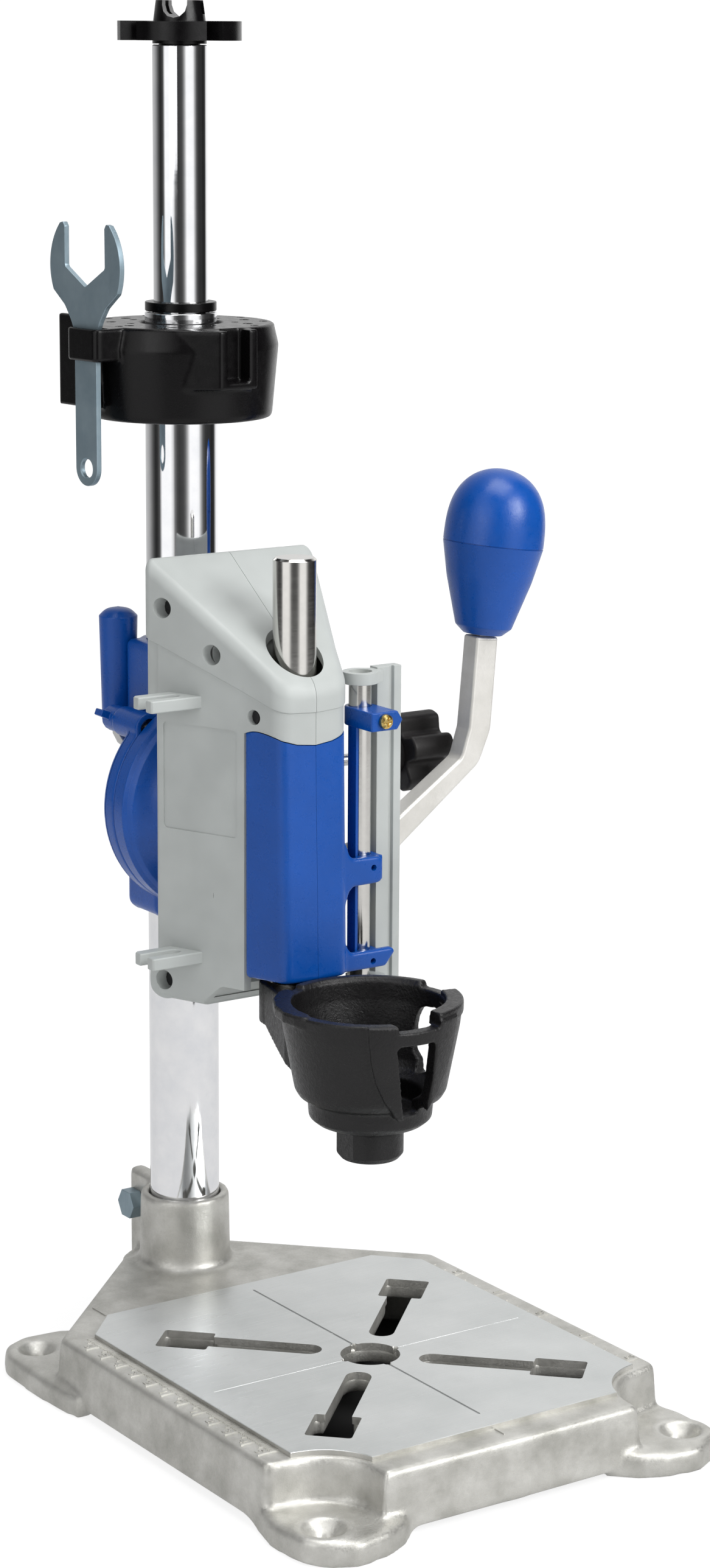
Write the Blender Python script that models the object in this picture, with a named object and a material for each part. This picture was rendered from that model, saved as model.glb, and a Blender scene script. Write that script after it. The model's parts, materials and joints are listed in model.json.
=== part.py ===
"""Drill stand for a hand-held rotary tool, built as separate sub-parts in one frame.

Lengths are written in millimetres and turned into metres when a mesh is made.
The origin is on the column axis at bench level, +Z up, +Y to the back, +X right.
"""
import math

import bmesh
import bpy
from mathutils import Matrix, Vector

MM = 0.001
GAP = 0.3                        # clearance left between parts that touch

# driving dimensions
TABLE_Y = -122.0                 # middle hole of the table, in front of the column
PLATE_TOP = 25.0
LOWER_R = 12.7                   # one inch lower tube
UPPER_R = 9.525                  # three quarter inch upper tube
LOWER_TOP = 372.6
UPPER_TOP = 464.2
TILT_Z = 200.7                   # axis on which the head tilts
DISC_R = 39.2
QUILL_Y = -73.5
QUILL_R = 7.5
GUIDE_X, GUIDE_Y, GUIDE_R = 24.7, -77.0, 4.0
PINION_Y, PINION_Z = -53.5, 177.0
TEETH = 20
MODULE = 1.4
PITCH_R = MODULE * TEETH / 2
CUP_Y = -121.0
LOCK_Y, LOCK_Z = -27.7, 211.0
CLAMP_Y, CLAMP_Z = 18.5, 216.0
TRAY_TURN = math.radians(6.0)
KNOB_R, KNOB_SEAM, KNOB_TOP = 18.25, 29.6, 59.7
PIN_X, PIN_Z = -24.0, 228.8

for old in list(bpy.data.objects):
    bpy.data.objects.remove(old, do_unlink=True)

stand = bpy.data.collections.new("drill_stand")
cutters = bpy.data.collections.new("cutters")
bpy.context.scene.collection.children.link(stand)
bpy.context.scene.collection.children.link(cutters)


def material(name, colour, metallic=0.0, roughness=0.5):
    m = bpy.data.materials.new(name)
    m.use_nodes = True
    shader = m.node_tree.nodes["Principled BSDF"]
    shader.inputs["Base Color"].default_value = (*colour, 1.0)
    shader.inputs["Metallic"].default_value = metallic
    shader.inputs["Roughness"].default_value = roughness
    return m


CAST = material("cast_aluminium", (0.50, 0.51, 0.49), 0.8, 0.5)
CHROME = material("chromed_steel", (0.75, 0.75, 0.76), 1.0, 0.1)
STEEL = material("steel", (0.55, 0.55, 0.55), 1.0, 0.3)
ZINC = material("zinc_steel", (0.45, 0.50, 0.53), 0.9, 0.35)
BRASS = material("brass", (0.75, 0.58, 0.25), 1.0, 0.3)
BLUE = material("blue_plastic", (0.015, 0.07, 0.32), 0.0, 0.45)
GREY = material("grey_plastic", (0.42, 0.45, 0.44), 0.0, 0.5)
BLACK = material("black_plastic", (0.02, 0.02, 0.022), 0.0, 0.5)
BRONZE = material("bronze", (0.45, 0.30, 0.14), 1.0, 0.4)


def add(name, verts, faces, mat):
    """Closed mesh from millimetre points, with outward normals, in the stand."""
    mesh = bpy.data.meshes.new(name)
    mesh.from_pydata([(x * MM, y * MM, z * MM) for x, y, z in verts], [], faces)
    bm = bmesh.new()
    bm.from_mesh(mesh)
    bmesh.ops.remove_doubles(bm, verts=bm.verts, dist=0.00001)
    bmesh.ops.recalc_face_normals(bm, faces=bm.faces)
    bm.to_mesh(mesh)
    bm.free()
    mesh.materials.append(mat)
    obj = bpy.data.objects.new(name, mesh)
    stand.objects.link(obj)
    return obj


def place(points, axis):
    """Points (a, b, along) to (x, y, z) for a shape that runs along one axis."""
    if axis == "Z":
        return [(a, b, c) for a, b, c in points]
    if axis == "Y":
        return [(a, c, b) for a, b, c in points]
    return [(c, a, b) for a, b, c in points]


def loft(name, sections, mat, axis="Z"):
    """Solid through outlines with equal point counts; a section is (outline, along)."""
    n = len(sections[0][0])
    pts = [(a, b, along) for outline, along in sections for a, b in outline]
    faces = [list(range(n)), [len(pts) - n + i for i in range(n)]]
    for k in range(len(sections) - 1):
        for i in range(n):
            j = (i + 1) % n
            faces.append([k * n + i, k * n + j, (k + 1) * n + j, (k + 1) * n + i])
    return add(name, place(pts, axis), faces, mat)


def prism(name, outline, low, high, mat, axis="Z"):
    return loft(name, [(outline, low), (outline, high)], mat, axis)


def box(name, x, y, z, mat):
    return prism(name, [(x[0], y[0]), (x[1], y[0]), (x[1], y[1]), (x[0], y[1])], z[0], z[1], mat)


def lathe(name, profile, mat, centre=(0.0, 0.0), axis="Z", steps=32, closed=False, start=0.0):
    """Turned solid. profile is (radius, along); centre is in the plane across the axis."""
    pts = []
    rows = []
    for r, along in profile:
        if r < 1e-6:
            rows.append([len(pts)] * steps)
            pts.append((centre[0], centre[1], along))
            continue
        rows.append([len(pts) + i for i in range(steps)])
        for i in range(steps):
            t = start + 2 * math.pi * i / steps
            pts.append((centre[0] + r * math.cos(t), centre[1] + r * math.sin(t), along))
    pairs = list(zip(rows, rows[1:]))
    if closed:
        pairs.append((rows[-1], rows[0]))
    faces = []
    for low, high in pairs:
        for i in range(steps):
            j = (i + 1) % steps
            ring = [low[i], low[j], high[j], high[i]]
            face = [v for k, v in enumerate(ring) if v not in ring[:k]]
            if len(face) > 2:
                faces.append(face)
    return add(name, place(pts, axis), faces, mat)


def rod(name, r, low, high, mat, centre=(0.0, 0.0), axis="Z", steps=24, chamfer=0.0):
    profile = [(0, low), (r - chamfer, low), (r, low + chamfer), (r, high - chamfer),
               (r - chamfer, high), (0, high)]
    if not chamfer:
        profile = [(0, low), (r, low), (r, high), (0, high)]
    return lathe(name, profile, mat, centre, axis, steps)


def tube(name, outer, inner, low, high, mat, centre=(0.0, 0.0), axis="Z", steps=32):
    profile = [(inner, low), (outer, low), (outer, high), (inner, high)]
    return lathe(name, profile, mat, centre, axis, steps, closed=True)


def arc(cx, cy, r, start, end, steps):
    """Points on an arc, angles in degrees."""
    return [(cx + r * math.cos(math.radians(start + (end - start) * i / steps)),
             cy + r * math.sin(math.radians(start + (end - start) * i / steps)))
            for i in range(steps + 1)]


def rounded(x0, y0, x1, y1, r, steps=4):
    """Rectangle outline with round corners."""
    return (arc(x0 + r, y0 + r, r, 180, 270, steps) + arc(x1 - r, y0 + r, r, 270, 360, steps)
            + arc(x1 - r, y1 - r, r, 0, 90, steps) + arc(x0 + r, y1 - r, r, 90, 180, steps))


def turned(outline, angle, cx=0.0, cy=0.0):
    """Outline turned about a point, angle in radians."""
    c, s = math.cos(angle), math.sin(angle)
    return [(cx + (x - cx) * c - (y - cy) * s, cy + (x - cx) * s + (y - cy) * c) for x, y in outline]


def joined(target, tool, operation):
    """Boolean with a tool that is kept, hidden, in its own collection."""
    stand.objects.unlink(tool)
    cutters.objects.link(tool)
    tool.hide_render = True
    tool.display_type = "WIRE"
    mod = target.modifiers.new(operation.lower(), "BOOLEAN")
    mod.operation = operation
    mod.solver = "EXACT"
    mod.object = tool


def cut(target, *tools):
    for tool in tools:
        joined(target, tool, "DIFFERENCE")


def fuse(target, *tools):
    for tool in tools:
        joined(target, tool, "UNION")


def origin(obj, x, y, z):
    """Move an object's origin to its joint axis without moving its shape."""
    point = Vector((x * MM, y * MM, z * MM))
    obj.data.transform(Matrix.Translation(-point))
    obj.location = point


def coil(name, mat, centre, axis, radius, wire, low, high, turns, steps=12, sides=6):
    """Closed round-wire helix with flat ends, along one axis."""
    count = int(turns * steps)
    pts = []
    for i in range(count + 1):
        t = 2 * math.pi * i / steps
        along = low + wire + (high - low - 2 * wire) * i / count
        for j in range(sides):
            a = 2 * math.pi * j / sides
            r = radius + wire * math.cos(a)
            pts.append((centre[0] + r * math.cos(t), centre[1] + r * math.sin(t), along + wire * math.sin(a)))
    faces = [list(range(sides)), [count * sides + j for j in range(sides)]]
    for i in range(count):
        for j in range(sides):
            k = (j + 1) % sides
            faces.append([i * sides + j, i * sides + k, (i + 1) * sides + k, (i + 1) * sides + j])
    return add(name, place(pts, axis), faces, mat)


def sweep(name, path, r, mat, sides=10):
    """Round bar along a list of points."""
    pts = []
    side = None
    for i, p in enumerate(path):
        a = Vector(path[max(i - 1, 0)])
        b = Vector(path[min(i + 1, len(path) - 1)])
        along = (b - a).normalized()
        side = (Vector((0.3, 1.0, 0.2)) if side is None else side)
        side = (side - along * side.dot(along)).normalized()
        other = along.cross(side)
        for j in range(sides):
            t = 2 * math.pi * j / sides
            q = Vector(p) + (side * math.cos(t) + other * math.sin(t)) * r
            pts.append(tuple(q))
    n = len(path)
    faces = [list(range(sides)), [(n - 1) * sides + j for j in range(sides)]]
    for i in range(n - 1):
        for j in range(sides):
            k = (j + 1) % sides
            faces.append([i * sides + j, i * sides + k, (i + 1) * sides + k, (i + 1) * sides + j])
    return add(name, pts, faces, mat)


# ---- base -------------------------------------------------------------------
def table(points):
    """Table coordinates to the shared frame."""
    return [(x, y + TABLE_Y) for x, y in points]


def mirrored(points):
    """Close a right half outline with its mirror image."""
    return points + [(-x, y) for x, y in reversed(points) if abs(x) > 1e-6]


def make_base():
    corner = arc(72, -80, 20.5, 192, 100, 6)
    top_half = [(0, -84.5)] + corner + [(79.5, -58), (79.5, 62), (73, 69), (54, 91), (21, 127)]
    neck = arc(0, 122, 17.5, 35, 90, 4)
    outline = mirrored(top_half + neck[:-1] + [(0, 139.5)])
    foot = [(x * 1.015, (y - 10) * 1.012 + 10) for x, y in outline]
    body = loft("base_casting", [(table(foot), 2.5), (table(outline), 23.15)], CAST)
    edge = arc(72, -80, 23.0, 164, 95, 5)
    plate = mirrored([(0, -73.4)] + edge + [(71.9, -56.5), (71.9, 65), (56.5, 82), (0, 82)])
    fuse(body, prism("plate", table(plate), 20, PLATE_TOP, CAST))
    for k in range(4):
        slot = arc(21.5, 0, 4.5, 90, 270, 5) + [(56.2, -4.5), (56.2, -7.9), (74.3, -7.9), (74.3, 7.9)]
        slot += [(56.2, 7.9), (56.2, 4.5)]
        angle = math.pi / 4 + k * math.pi / 2
        cut(body, prism("slot", table(turned(slot, angle)), -1.3, 31, CAST))
    cut(body, rod("hole", 10.28, -1, 30, CAST, (0, TABLE_Y), steps=24))
    cross = [(-63.4, -0.35), (-0.35, -0.35), (-0.35, -64.3), (0.35, -64.3), (0.35, -0.35), (63.4, -0.35),
             (63.4, 0.35), (0.35, 0.35), (0.35, 75.3), (-0.35, 75.3), (-0.35, 0.35), (-63.4, 0.35)]
    cut(body, prism("scribe", table(cross), 24.6, 32, CAST))
    for side in (-1, 1):
        lug = [(37.5, -80.8), (48, -90.2), (56, -94)] + arc(68.5, -81.0, 14.8, 275, 345, 5)
        lug += [(84.3, -68), (82.2, -59), (78.9, -50), (58, -50), (40, -70)]
        back = [(75.5, 60), (82.9, 57), (84.6, 66), (85.3, 84), (85.0, 100)] + arc(72, 106.5, 12.6, 0, 90, 5)
        back += [(58, 118.2), (34, 114), (34, 100), (60, 60)]
        for shape in (lug, back):
            pts = [(x * side, y) for x, y in shape]
            if side < 0:
                pts.reverse()
            fuse(body, prism("lug", table(pts), 0, 8.2, CAST))
    fuse(body, rod("collar", 16.4, 0, 50, CAST, steps=24))
    fuse(body, box("ear", (-7.5, 7.5), (8, 28), (0, 52.5), CAST))
    inner = [(0, -79.5), (52, -79.5), (56, -64), (66, -54.5), (74, -53), (74, 58), (50, 86), (22, 96)]
    hollow = mirrored(inner + [(0, 96)])
    cut(body, prism("hollow", table(hollow), -1, 17.5, CAST))
    for x, y in ((-72.1, -80.2), (72.1, -80.2), (-72.1, 105.6), (72.1, 105.6)):
        sink = [(0, -1), (3.0, -1), (3.0, 4.2), (7.2, 8.6), (7.2, 12), (0, 12)]
        cut(body, lathe("sink", sink, CAST, (x, y + TABLE_Y), steps=12))
    cut(body, rod("socket", LOWER_R + 0.35, 4, 60, CAST, steps=24))
    cut(body, box("split", (-1.1, 1.1), (5, 40), (20, 60), CAST))
    cut(body, rod("bolt_hole", 3.3, -20, 20, CAST, (22, 40), "X", 12))


def hex_head(name, across, low, high, mat, centre, axis):
    r = across / math.sqrt(3)
    return lathe(name, [(0, low), (r, low), (r, high), (0, high)], mat, centre, axis, 6)


def make_column():
    bolt = rod("collar_bolt", 3.0, -9.5, 14, ZINC, (22, 40), "X", 12)
    fuse(bolt, hex_head("head", 10, -12.6, -7.8, ZINC, (22, 40), "X"))
    nut = hex_head("nut", 10, 7.8, 12.4, ZINC, (22, 40), "X")
    fuse(bolt, nut)
    tube("lower_tube", LOWER_R, 10.2, 4.3, LOWER_TOP, CHROME, steps=32)
    tube("tube_ring", 12.6, UPPER_R + 0.05, LOWER_TOP + GAP, 376.6, BLACK, steps=32)
    tube("upper_tube", UPPER_R, 7.6, 200, UPPER_TOP, CHROME, steps=28)
    spigot = [(0, 450), (7.2, 450), (7.2, UPPER_TOP + GAP), (9.4, UPPER_TOP + GAP), (9.4, 465.6),
              (12.5, 465.6), (12.5, 472), (9.1, 472.2), (8.2, 479.2), (0, 479.2)]
    cap = lathe("hanger_cap", spigot, BLACK, steps=24)
    for angle, r, half in ((-135, 17.0, 47), (45, 17.0, 47), (-45, 21.5, 33), (135, 21.5, 33)):
        lobe = [(0, 0)] + arc(0, 0, r, angle - half, angle + half, 6)
        fuse(cap, prism("lobe", lobe, 465.6, 472.0 + 0.2 * (r > 20), BLACK))
    groove = [(-4.4, 483)] + arc(0, 477.6, 4.4, 180, 360, 6) + [(4.4, 483)]
    saddle = prism("saddle", groove, -14, 14, BLACK, "Y")
    saddle.data.transform(Matrix.Rotation(math.radians(-45), 4, "Z"))
    cut(cap, saddle)
    cross = box("cross", (-2.3, 2.3), (-14, 14), (474.5, 484), BLACK)
    cross.data.transform(Matrix.Rotation(math.radians(45), 4, "Z"))
    cut(cap, cross)


def tray_piece(obj):
    obj.data.transform(Matrix.Rotation(TRAY_TURN, 4, "Z"))
    return obj


def make_tray():
    profile = [(LOWER_R + 0.3, 332.3), (31.3, 332.3), (32.0, 333.6), (34.3, 361), (32.6, 369),
               (14.4, 369), (14.4, 341), (LOWER_R + 0.3, 341)]
    tray = tray_piece(lathe("tool_tray", profile, BLACK, steps=32, closed=True))
    facet = [(-18.6, 348), (6.3, 348), (6.3, 368.3), (-19.8, 368.3), (-16.0, 360.3)]
    fuse(tray, tray_piece(prism("facet", facet, -34.2, -24, BLACK, "Y")))
    fuse(tray, tray_piece(box("frame", (-9.9, 6.2), (-35.8, -25), (348, 368.7), BLACK)))
    fuse(tray, tray_piece(box("fin", (-36.6, -34), (0.5, 22.4), (340.7, 372.6), BLACK)))
    fuse(tray, tray_piece(box("web", (-35, -24), (1.5, 12), (340.7, 368.2), BLACK)))
    fuse(tray, tray_piece(box("loop", (-43.2, -31), (-8.8, 8.9), (357.6, 368.9), BLACK)))
    cut(tray, tray_piece(box("loop_gap", (-41.6, -37.0), (-7.2, 7.3), (350, 375), BLACK)))
    cut(tray, tray_piece(box("pocket", (-7.2, 2.4), (-40, -30.6), (350.8, 375), BLACK)))
    for count, ring, r, shift in ((7, 19.0, 1.1, 0.2), (9, 24.4, 1.6, 0.45), (10, 29.2, 1.3, 0.1)):
        for k in range(count):
            t = shift + 2 * math.pi * k / count
            x, y = ring * math.cos(t), ring * math.sin(t)
            if y < -24 and abs(x) < 9:
                continue
            cut(tray, rod("bit_hole", r, 360, 375, BLACK, (x, y), steps=5))
    origin(tray, 0, 0, 350)


def make_wrench():
    middle = 0.6
    half = [(-14.4, 404.1)] + arc(0, 389.6, 20.4, 141, 205, 6)
    half += [(-11.9, 376.0), (-8.4, 371.2), (-6.3, 369.4)]
    mirrored = [(-x, z) for x, z in reversed(half)]
    foot = arc(0, 320.4, 6.2, 180, 360, 8)
    jaw = [(12.5, 404.5), (11.5, 403.0), (11.6, 389.4), (0, 382.7), (-11.6, 389.4), (-11.5, 403.0), (-12.5, 404.5)]
    shape = [(middle + a, b) for a, b in foot + mirrored + jaw + half]
    obj = tray_piece(prism("wrench", shape, -40.9, -38.9, ZINC, "X"))
    cut(obj, tray_piece(rod("hole", 3.3, -45, -35, ZINC, (middle, 320.3), "X", 16)))


# ---- head bracket and tilt ---------------------------------------------------
def make_bracket():
    outline = [(-17.3, -10.5), (17.3, -10.5), (17.3, 8.4), (12.2, 10.4), (7, 15.4), (-8, 15.4), (-12.4, 11.2),
               (-17.3, 10.7)]
    body = prism("column_bracket", outline, 157.3, 256.4, BLUE)
    fuse(body, rod("disc", DISC_R, -17.2, -9.7, BLUE, (0, TILT_Z), "Y", 32))
    fuse(body, rod("pin_boss", 5.4, -17.2, 1.0, BLUE, (PIN_X, PIN_Z), "Y", 16))
    fuse(body, box("ears", (-9.6, 9.6), (12, 24), (206, 226), BLUE))
    cut(body, rod("bore", LOWER_R + 0.15, 140, 270, BLUE, steps=24))
    cut(body, box("split", (-1.1, 1.1), (5, 40), (140, 270), BLUE))
    cut(body, rod("screw_way", 3.1, -20, 20, BLUE, (CLAMP_Y, CLAMP_Z), "X", 12))
    cut(body, rod("pivot_way", 4.3, -20, -9, BLUE, (0, TILT_Z), "Y", 16))
    cut(body, rod("spring_way", 3.6, -20, -0.6, BLUE, (PIN_X, PIN_Z), "Y", 16))
    cut(body, rod("pin_way", 2.3, -3, 5, BLUE, (PIN_X, PIN_Z), "Y", 12))
    origin(body, 0, 0, TILT_Z)
    bend = [(14.5, CLAMP_Y, CLAMP_Z), (-9, CLAMP_Y, CLAMP_Z), (-11.8, CLAMP_Y, CLAMP_Z + 0.6), (-14.2, 18.4, 218.6),
            (-15.6, 18.2, 221), (-15.9, 18, 223.5), (-15.9, 18, 240)]
    lever = sweep("clamp_rod", bend, 2.6, STEEL, 12)
    origin(lever, 0, CLAMP_Y, CLAMP_Z)
    grip_profile = [(0, 225.2), (4.4, 225.2), (5.9, 226.9), (6.6, 263.5), (6.1, 265.3), (3.6, 266.6), (0, 266.9)]
    grip = lathe("clamp_grip", grip_profile, BLUE, (-15.9, 18), steps=16)
    cut(grip, rod("grip_way", 2.9, 220, 242, BLUE, (-15.9, 18), steps=12))
    origin(grip, 0, CLAMP_Y, CLAMP_Z)
    nut = hex_head("clamp_nut", 9, 9.9, 14.2, ZINC, (CLAMP_Y, CLAMP_Z), "X")
    cut(nut, rod("nut_way", 2.9, 5, 20, ZINC, (CLAMP_Y, CLAMP_Z), "X", 12))
    pin_profile = [(0, -20.6), (0.9, -20.6), (1.3, -20.0), (1.3, -16), (3.2, -16), (3.2, -15), (2.0, -15),
                   (2.0, 6), (0, 6)]
    lathe("index_pin", pin_profile, STEEL, (PIN_X, PIN_Z), "Y", 12)
    cap = lathe("index_cap", [(2.3, 1.4), (4.7, 1.4), (4.7, 8.2), (3.9, 9.2), (0, 9.2), (0, 6.4), (2.3, 6.4)],
                BLUE, (PIN_X, PIN_Z), "Y", 16, closed=True)
    tab = [(-3, -1.4), (-8.2, -1.2), (-8.2, 1.2), (-3, 1.4)]
    tab = [(x + PIN_X, z + PIN_Z) for x, z in turned(tab, math.radians(-22))]
    fuse(cap, prism("tab", tab, 3.2, 8.2, BLUE, "Y"))
    coil("index_spring", STEEL, (PIN_X, PIN_Z), "Y", 2.8, 0.35, -11.1, -0.8, 6, 8, 4)


def hole_place(angle):
    """Index hole that meets the pin when the head has tilted by an angle."""
    px, pz = PIN_X, PIN_Z - TILT_Z
    t = math.radians(angle)
    return px * math.cos(t) - pz * math.sin(t), TILT_Z + px * math.sin(t) + pz * math.cos(t)


def make_tilt():
    profile = [(4.3, -17.5), (DISC_R, -17.5), (DISC_R, -21.3), (38, -22.8), (30.5, -27.5), (28, -33.7),
               (9.5, -33.7), (9.5, -27), (4.3, -27)]
    disc = lathe("tilt_disc", profile, BLUE, (0, TILT_Z), "Y", 32, closed=True)
    for k in range(7):
        cut(disc, rod("index_hole", 1.55, -21.8, -16, BLUE, hole_place(15 * k), "Y", 6))
    boss = rod("lock_boss", 5.9, 24, 36, BLUE, (LOCK_Y, LOCK_Z), "X", 16)
    fuse(disc, boss)
    cut(disc, rod("lock_way", 2.5, 12, 60, BLUE, (LOCK_Y, LOCK_Z), "X", 12))
    origin(disc, 0, -25, TILT_Z)
    pivot = [(0, -31.5), (7.0, -31.5), (7.0, -27.3), (4.0, -27.3), (4.0, -13.3), (0, -13.3)]
    lathe("pivot_bolt", pivot, STEEL, (0, TILT_Z), "Y", 16)
    shaft = rod("lock_screw", 2.2, 14, 74, STEEL, (LOCK_Y, LOCK_Z), "X", 12)
    origin(shaft, 0, LOCK_Y, LOCK_Z)
    star = []
    for k in range(5):
        base = 72 * k + 90
        star += [(base - 24, 8.0), (base - 13, 14.0), (base, 14.8), (base + 13, 14.0), (base + 24, 8.0)]
    star = [(LOCK_Y + r * math.cos(math.radians(a)), LOCK_Z + r * math.sin(math.radians(a))) for a, r in star]
    small = [(LOCK_Y + (y - LOCK_Y) * 0.9, LOCK_Z + (z - LOCK_Z) * 0.9) for y, z in star]
    knob = loft("lock_knob", [(star, 73), (star, 88), (small, 91)], BLACK, "X")
    fuse(knob, rod("hub", 7.5, 66, 74, BLACK, (LOCK_Y, LOCK_Z), "X", 16, 1.0))
    cut(knob, rod("knob_way", 2.5, 60, 76, BLACK, (LOCK_Y, LOCK_Z), "X", 12))
    origin(knob, 0, LOCK_Y, LOCK_Z)


# ---- housing -----------------------------------------------------------------
FACE_X, FACE_Y = -19.0, -70.7    # front edge of the slanted side face
FACE_A = math.radians(22.0)


def face_point(s, depth=0.0):
    """Point on the left side face, s towards the back, depth into the housing."""
    x = FACE_X - math.sin(FACE_A) * s + math.cos(FACE_A) * depth
    y = FACE_Y + math.cos(FACE_A) * s + math.sin(FACE_A) * depth
    return x, y


def roof(y, drop=0.0):
    return 254.0 + 0.705 * (y + 85.2) - drop


def sloped(name, outline, low, drop, mat):
    """Prism whose top follows the hood's slope."""
    n = len(outline)
    pts = [(x, y, low) for x, y in outline] + [(x, y, roof(y, drop)) for x, y in outline]
    faces = [list(range(n)), [n + i for i in range(n)]]
    faces += [[i, (i + 1) % n, n + (i + 1) % n, n + i] for i in range(n)]
    return add(name, pts, faces, mat)


SCREWS = ((-39.0, 275.5, 3.6, -27.0, 12.0), (-58.4, 261.3, 3.6, -17.0, 12.0),
          (-74.5, 241.6, 2.7, -14.2, -11.2), (-38.6, 143.6, 3.6, -27.0, 12.0))


def housing_half(name, side):
    """One half of the grey housing; side -1 is the left one."""
    outer = [(0.15, -34.0), (30.6, -34.0), (32.7, -35.2), (33.4, -37.4), (19.0, -70.7), (14.9, -80.9),
             (13.1, -84.4), (9.2, -86.7), (0.15, -87.2)]
    inner = [(-3, -36.6), (30.2, -36.6), (16.5, -69.9), (12.6, -79.6), (8.0, -84.2), (-3, -84.6)]
    half = sloped(name, [(x * side, y) for x, y in outer], 137.0, 0.0, GREY)
    cavity = sloped("cavity", [(x * side, y) for x, y in inner], 139.6, 3.2, GREY)
    cut(half, cavity)
    under = [(-95, 130), (-95, 145), (-61.5, 145), (-53, 137), (-53, 130)]
    cut(half, prism("under", under, -40, 40, GREY, "X"))
    behind = [(0.15, -35.0), (31.0, -35.0), (32.4, -37.4), (34.3, -32.8), (34.0, -30.9), (32.6, -29.6), (0.15, -29.6)]
    fuse(half, sloped("hood_back", [(x * side, y) for x, y in behind], 243.0, 0.0, GREY))
    floor = [(-61.0, 145.0), (-52.6, 137.1), (-52.6, 139.7), (-61.5, 147.6), (-62.4, 147.6), (-62.4, 145.0)]
    fuse(half, prism("floor", floor, *sorted((0.15 * side, 21.9 * side)), GREY, "X"))
    mouth = [(0, 120), (18.85, 120), (18.85, 231), (18.3, 234.6), (16.6, 237), (14.4, 236.2), (11.5, 233.9),
             (8.5, 232.7), (-3, 232.5), (-3, 120)]
    mouth = [(x * side, z) for x, z in mouth]
    cut(half, prism("mouth", mouth, -95, -70.5, GREY, "Y"))
    cut(half, rod("quill_way", 9.9, 243, 300, GREY, (0, QUILL_Y), steps=20))
    collar = arc(0, QUILL_Y, 13.2, -90, 90, 10)
    fuse(half, prism("bush_seat", [(x * side + 0.15 * side, y) for x, y in collar], 236.6, 246, GREY))
    cut(half, rod("bush_way", 10.65, 230, 250, GREY, (0, QUILL_Y), steps=20))
    for y, z, r, seat, end in SCREWS:
        if side > 0 and end < 0:
            continue
        reach = r + 1.5
        outside = -FACE_X + math.tan(FACE_A) * (y - reach - FACE_Y) - GAP
        stop = 0.15 if end > 0 else 10.9
        lo, hi = sorted((stop * side, outside * side))
        fuse(half, rod("screw_boss", reach, lo, hi, GREY, (y, z), "X", 12))
    for y, z, r, seat, end in SCREWS:
        if side < 0:
            cut(half, rod("counterbore", r, -45, seat, GREY, (y, z), "X", 12))
            cut(half, rod("screw_way", 1.75, -45, 5 if end > 0 else end + 0.5, GREY, (y, z), "X", 8))
        elif end > 0:
            cut(half, rod("screw_way", 1.75, -5, end + 1, GREY, (y, z), "X", 8))
    if side < 0:
        corners = [face_point(s, d) for s, d in ((3, -3), (34, -3), (34, 0.4), (3, 0.4))]
        cut(half, prism("label_recess", corners, 198.6, 236.0, GREY))
        for low, high in ((242.2, 246.5), (151.9, 156.2)):
            hook = [(-24.5, -54.0), (-22, -42), (-28.0, -40.8), (-43.8, -40.8), (-45.2, -42.2), (-45.2, -45.3)]
            hook += arc(-33.0, -47.6, 2.3, 90, -90, 5) + [(-45.2, -49.9), (-45.2, -53.2), (-44.4, -54.0)]
            fuse(half, prism("hook", hook[::-1], low, high, GREY))
    else:
        fuse(half, rod("shaft_boss", 8.0, 22.3, 29.5, GREY, (PINION_Y, PINION_Z), "X", 16))
        cut(half, rod("shaft_way", 5.08, 15, 45, GREY, (PINION_Y, PINION_Z), "X", 20))
    if side < 0:
        fuse(half, rod("shaft_seat", 8.0, -22.4, -19.5, GREY, (PINION_Y, PINION_Z), "X", 16))
        cut(half, rod("shaft_well", 5.08, -23.5, -15, GREY, (PINION_Y, PINION_Z), "X", 20))
    return half


def offset(points, distance):
    """Outline moved inwards along its own normals, open at both ends."""
    out = []
    for i, (x, y) in enumerate(points):
        ax, ay = points[max(i - 1, 0)]
        bx, by = points[min(i + 1, len(points) - 1)]
        dx, dy = bx - ax, by - ay
        d = math.hypot(dx, dy)
        out.append((x - dy / d * distance, y + dx / d * distance))
    return out


def body_half(name, side):
    """One half of the blue front body, its wall leaning a little forward at the foot."""
    def wall(lean, inward, back, seam):
        skin = [(0.15, -86.6 - lean), (8.6, -86.2 - lean), (12.6, -83.0 - lean * 0.8), (15.0, -76.5), (15.9, -69.5),
                (16.0, -62.0)]
        skin = offset(skin, inward)
        ring = [(seam, skin[0][1])] + skin[1:-1] + [(skin[-1][0], back), (seam, back)]
        return [(x * side, y) for x, y in ring]
    half = loft(name, [(wall(2.2, 0, -62.0, 0.15), 149.9), (wall(0, 0, -62.0, 0.15), 232.2)], BLUE)
    fuse(half, loft("tongue", [(wall(0, 2.9, -63.0, 0.15), 227), (wall(0, 2.9, -63.0, 0.15), 236.3)], BLUE))
    cut(half, loft("hollow", [(wall(2.2, 4.9, -50, -4), 158.2), (wall(0, 4.9, -50, -4), 250)], BLUE))
    cut(half, rod("bush_way", 10.65, 145, 165, BLUE, (0, QUILL_Y), steps=20))
    return half


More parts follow.
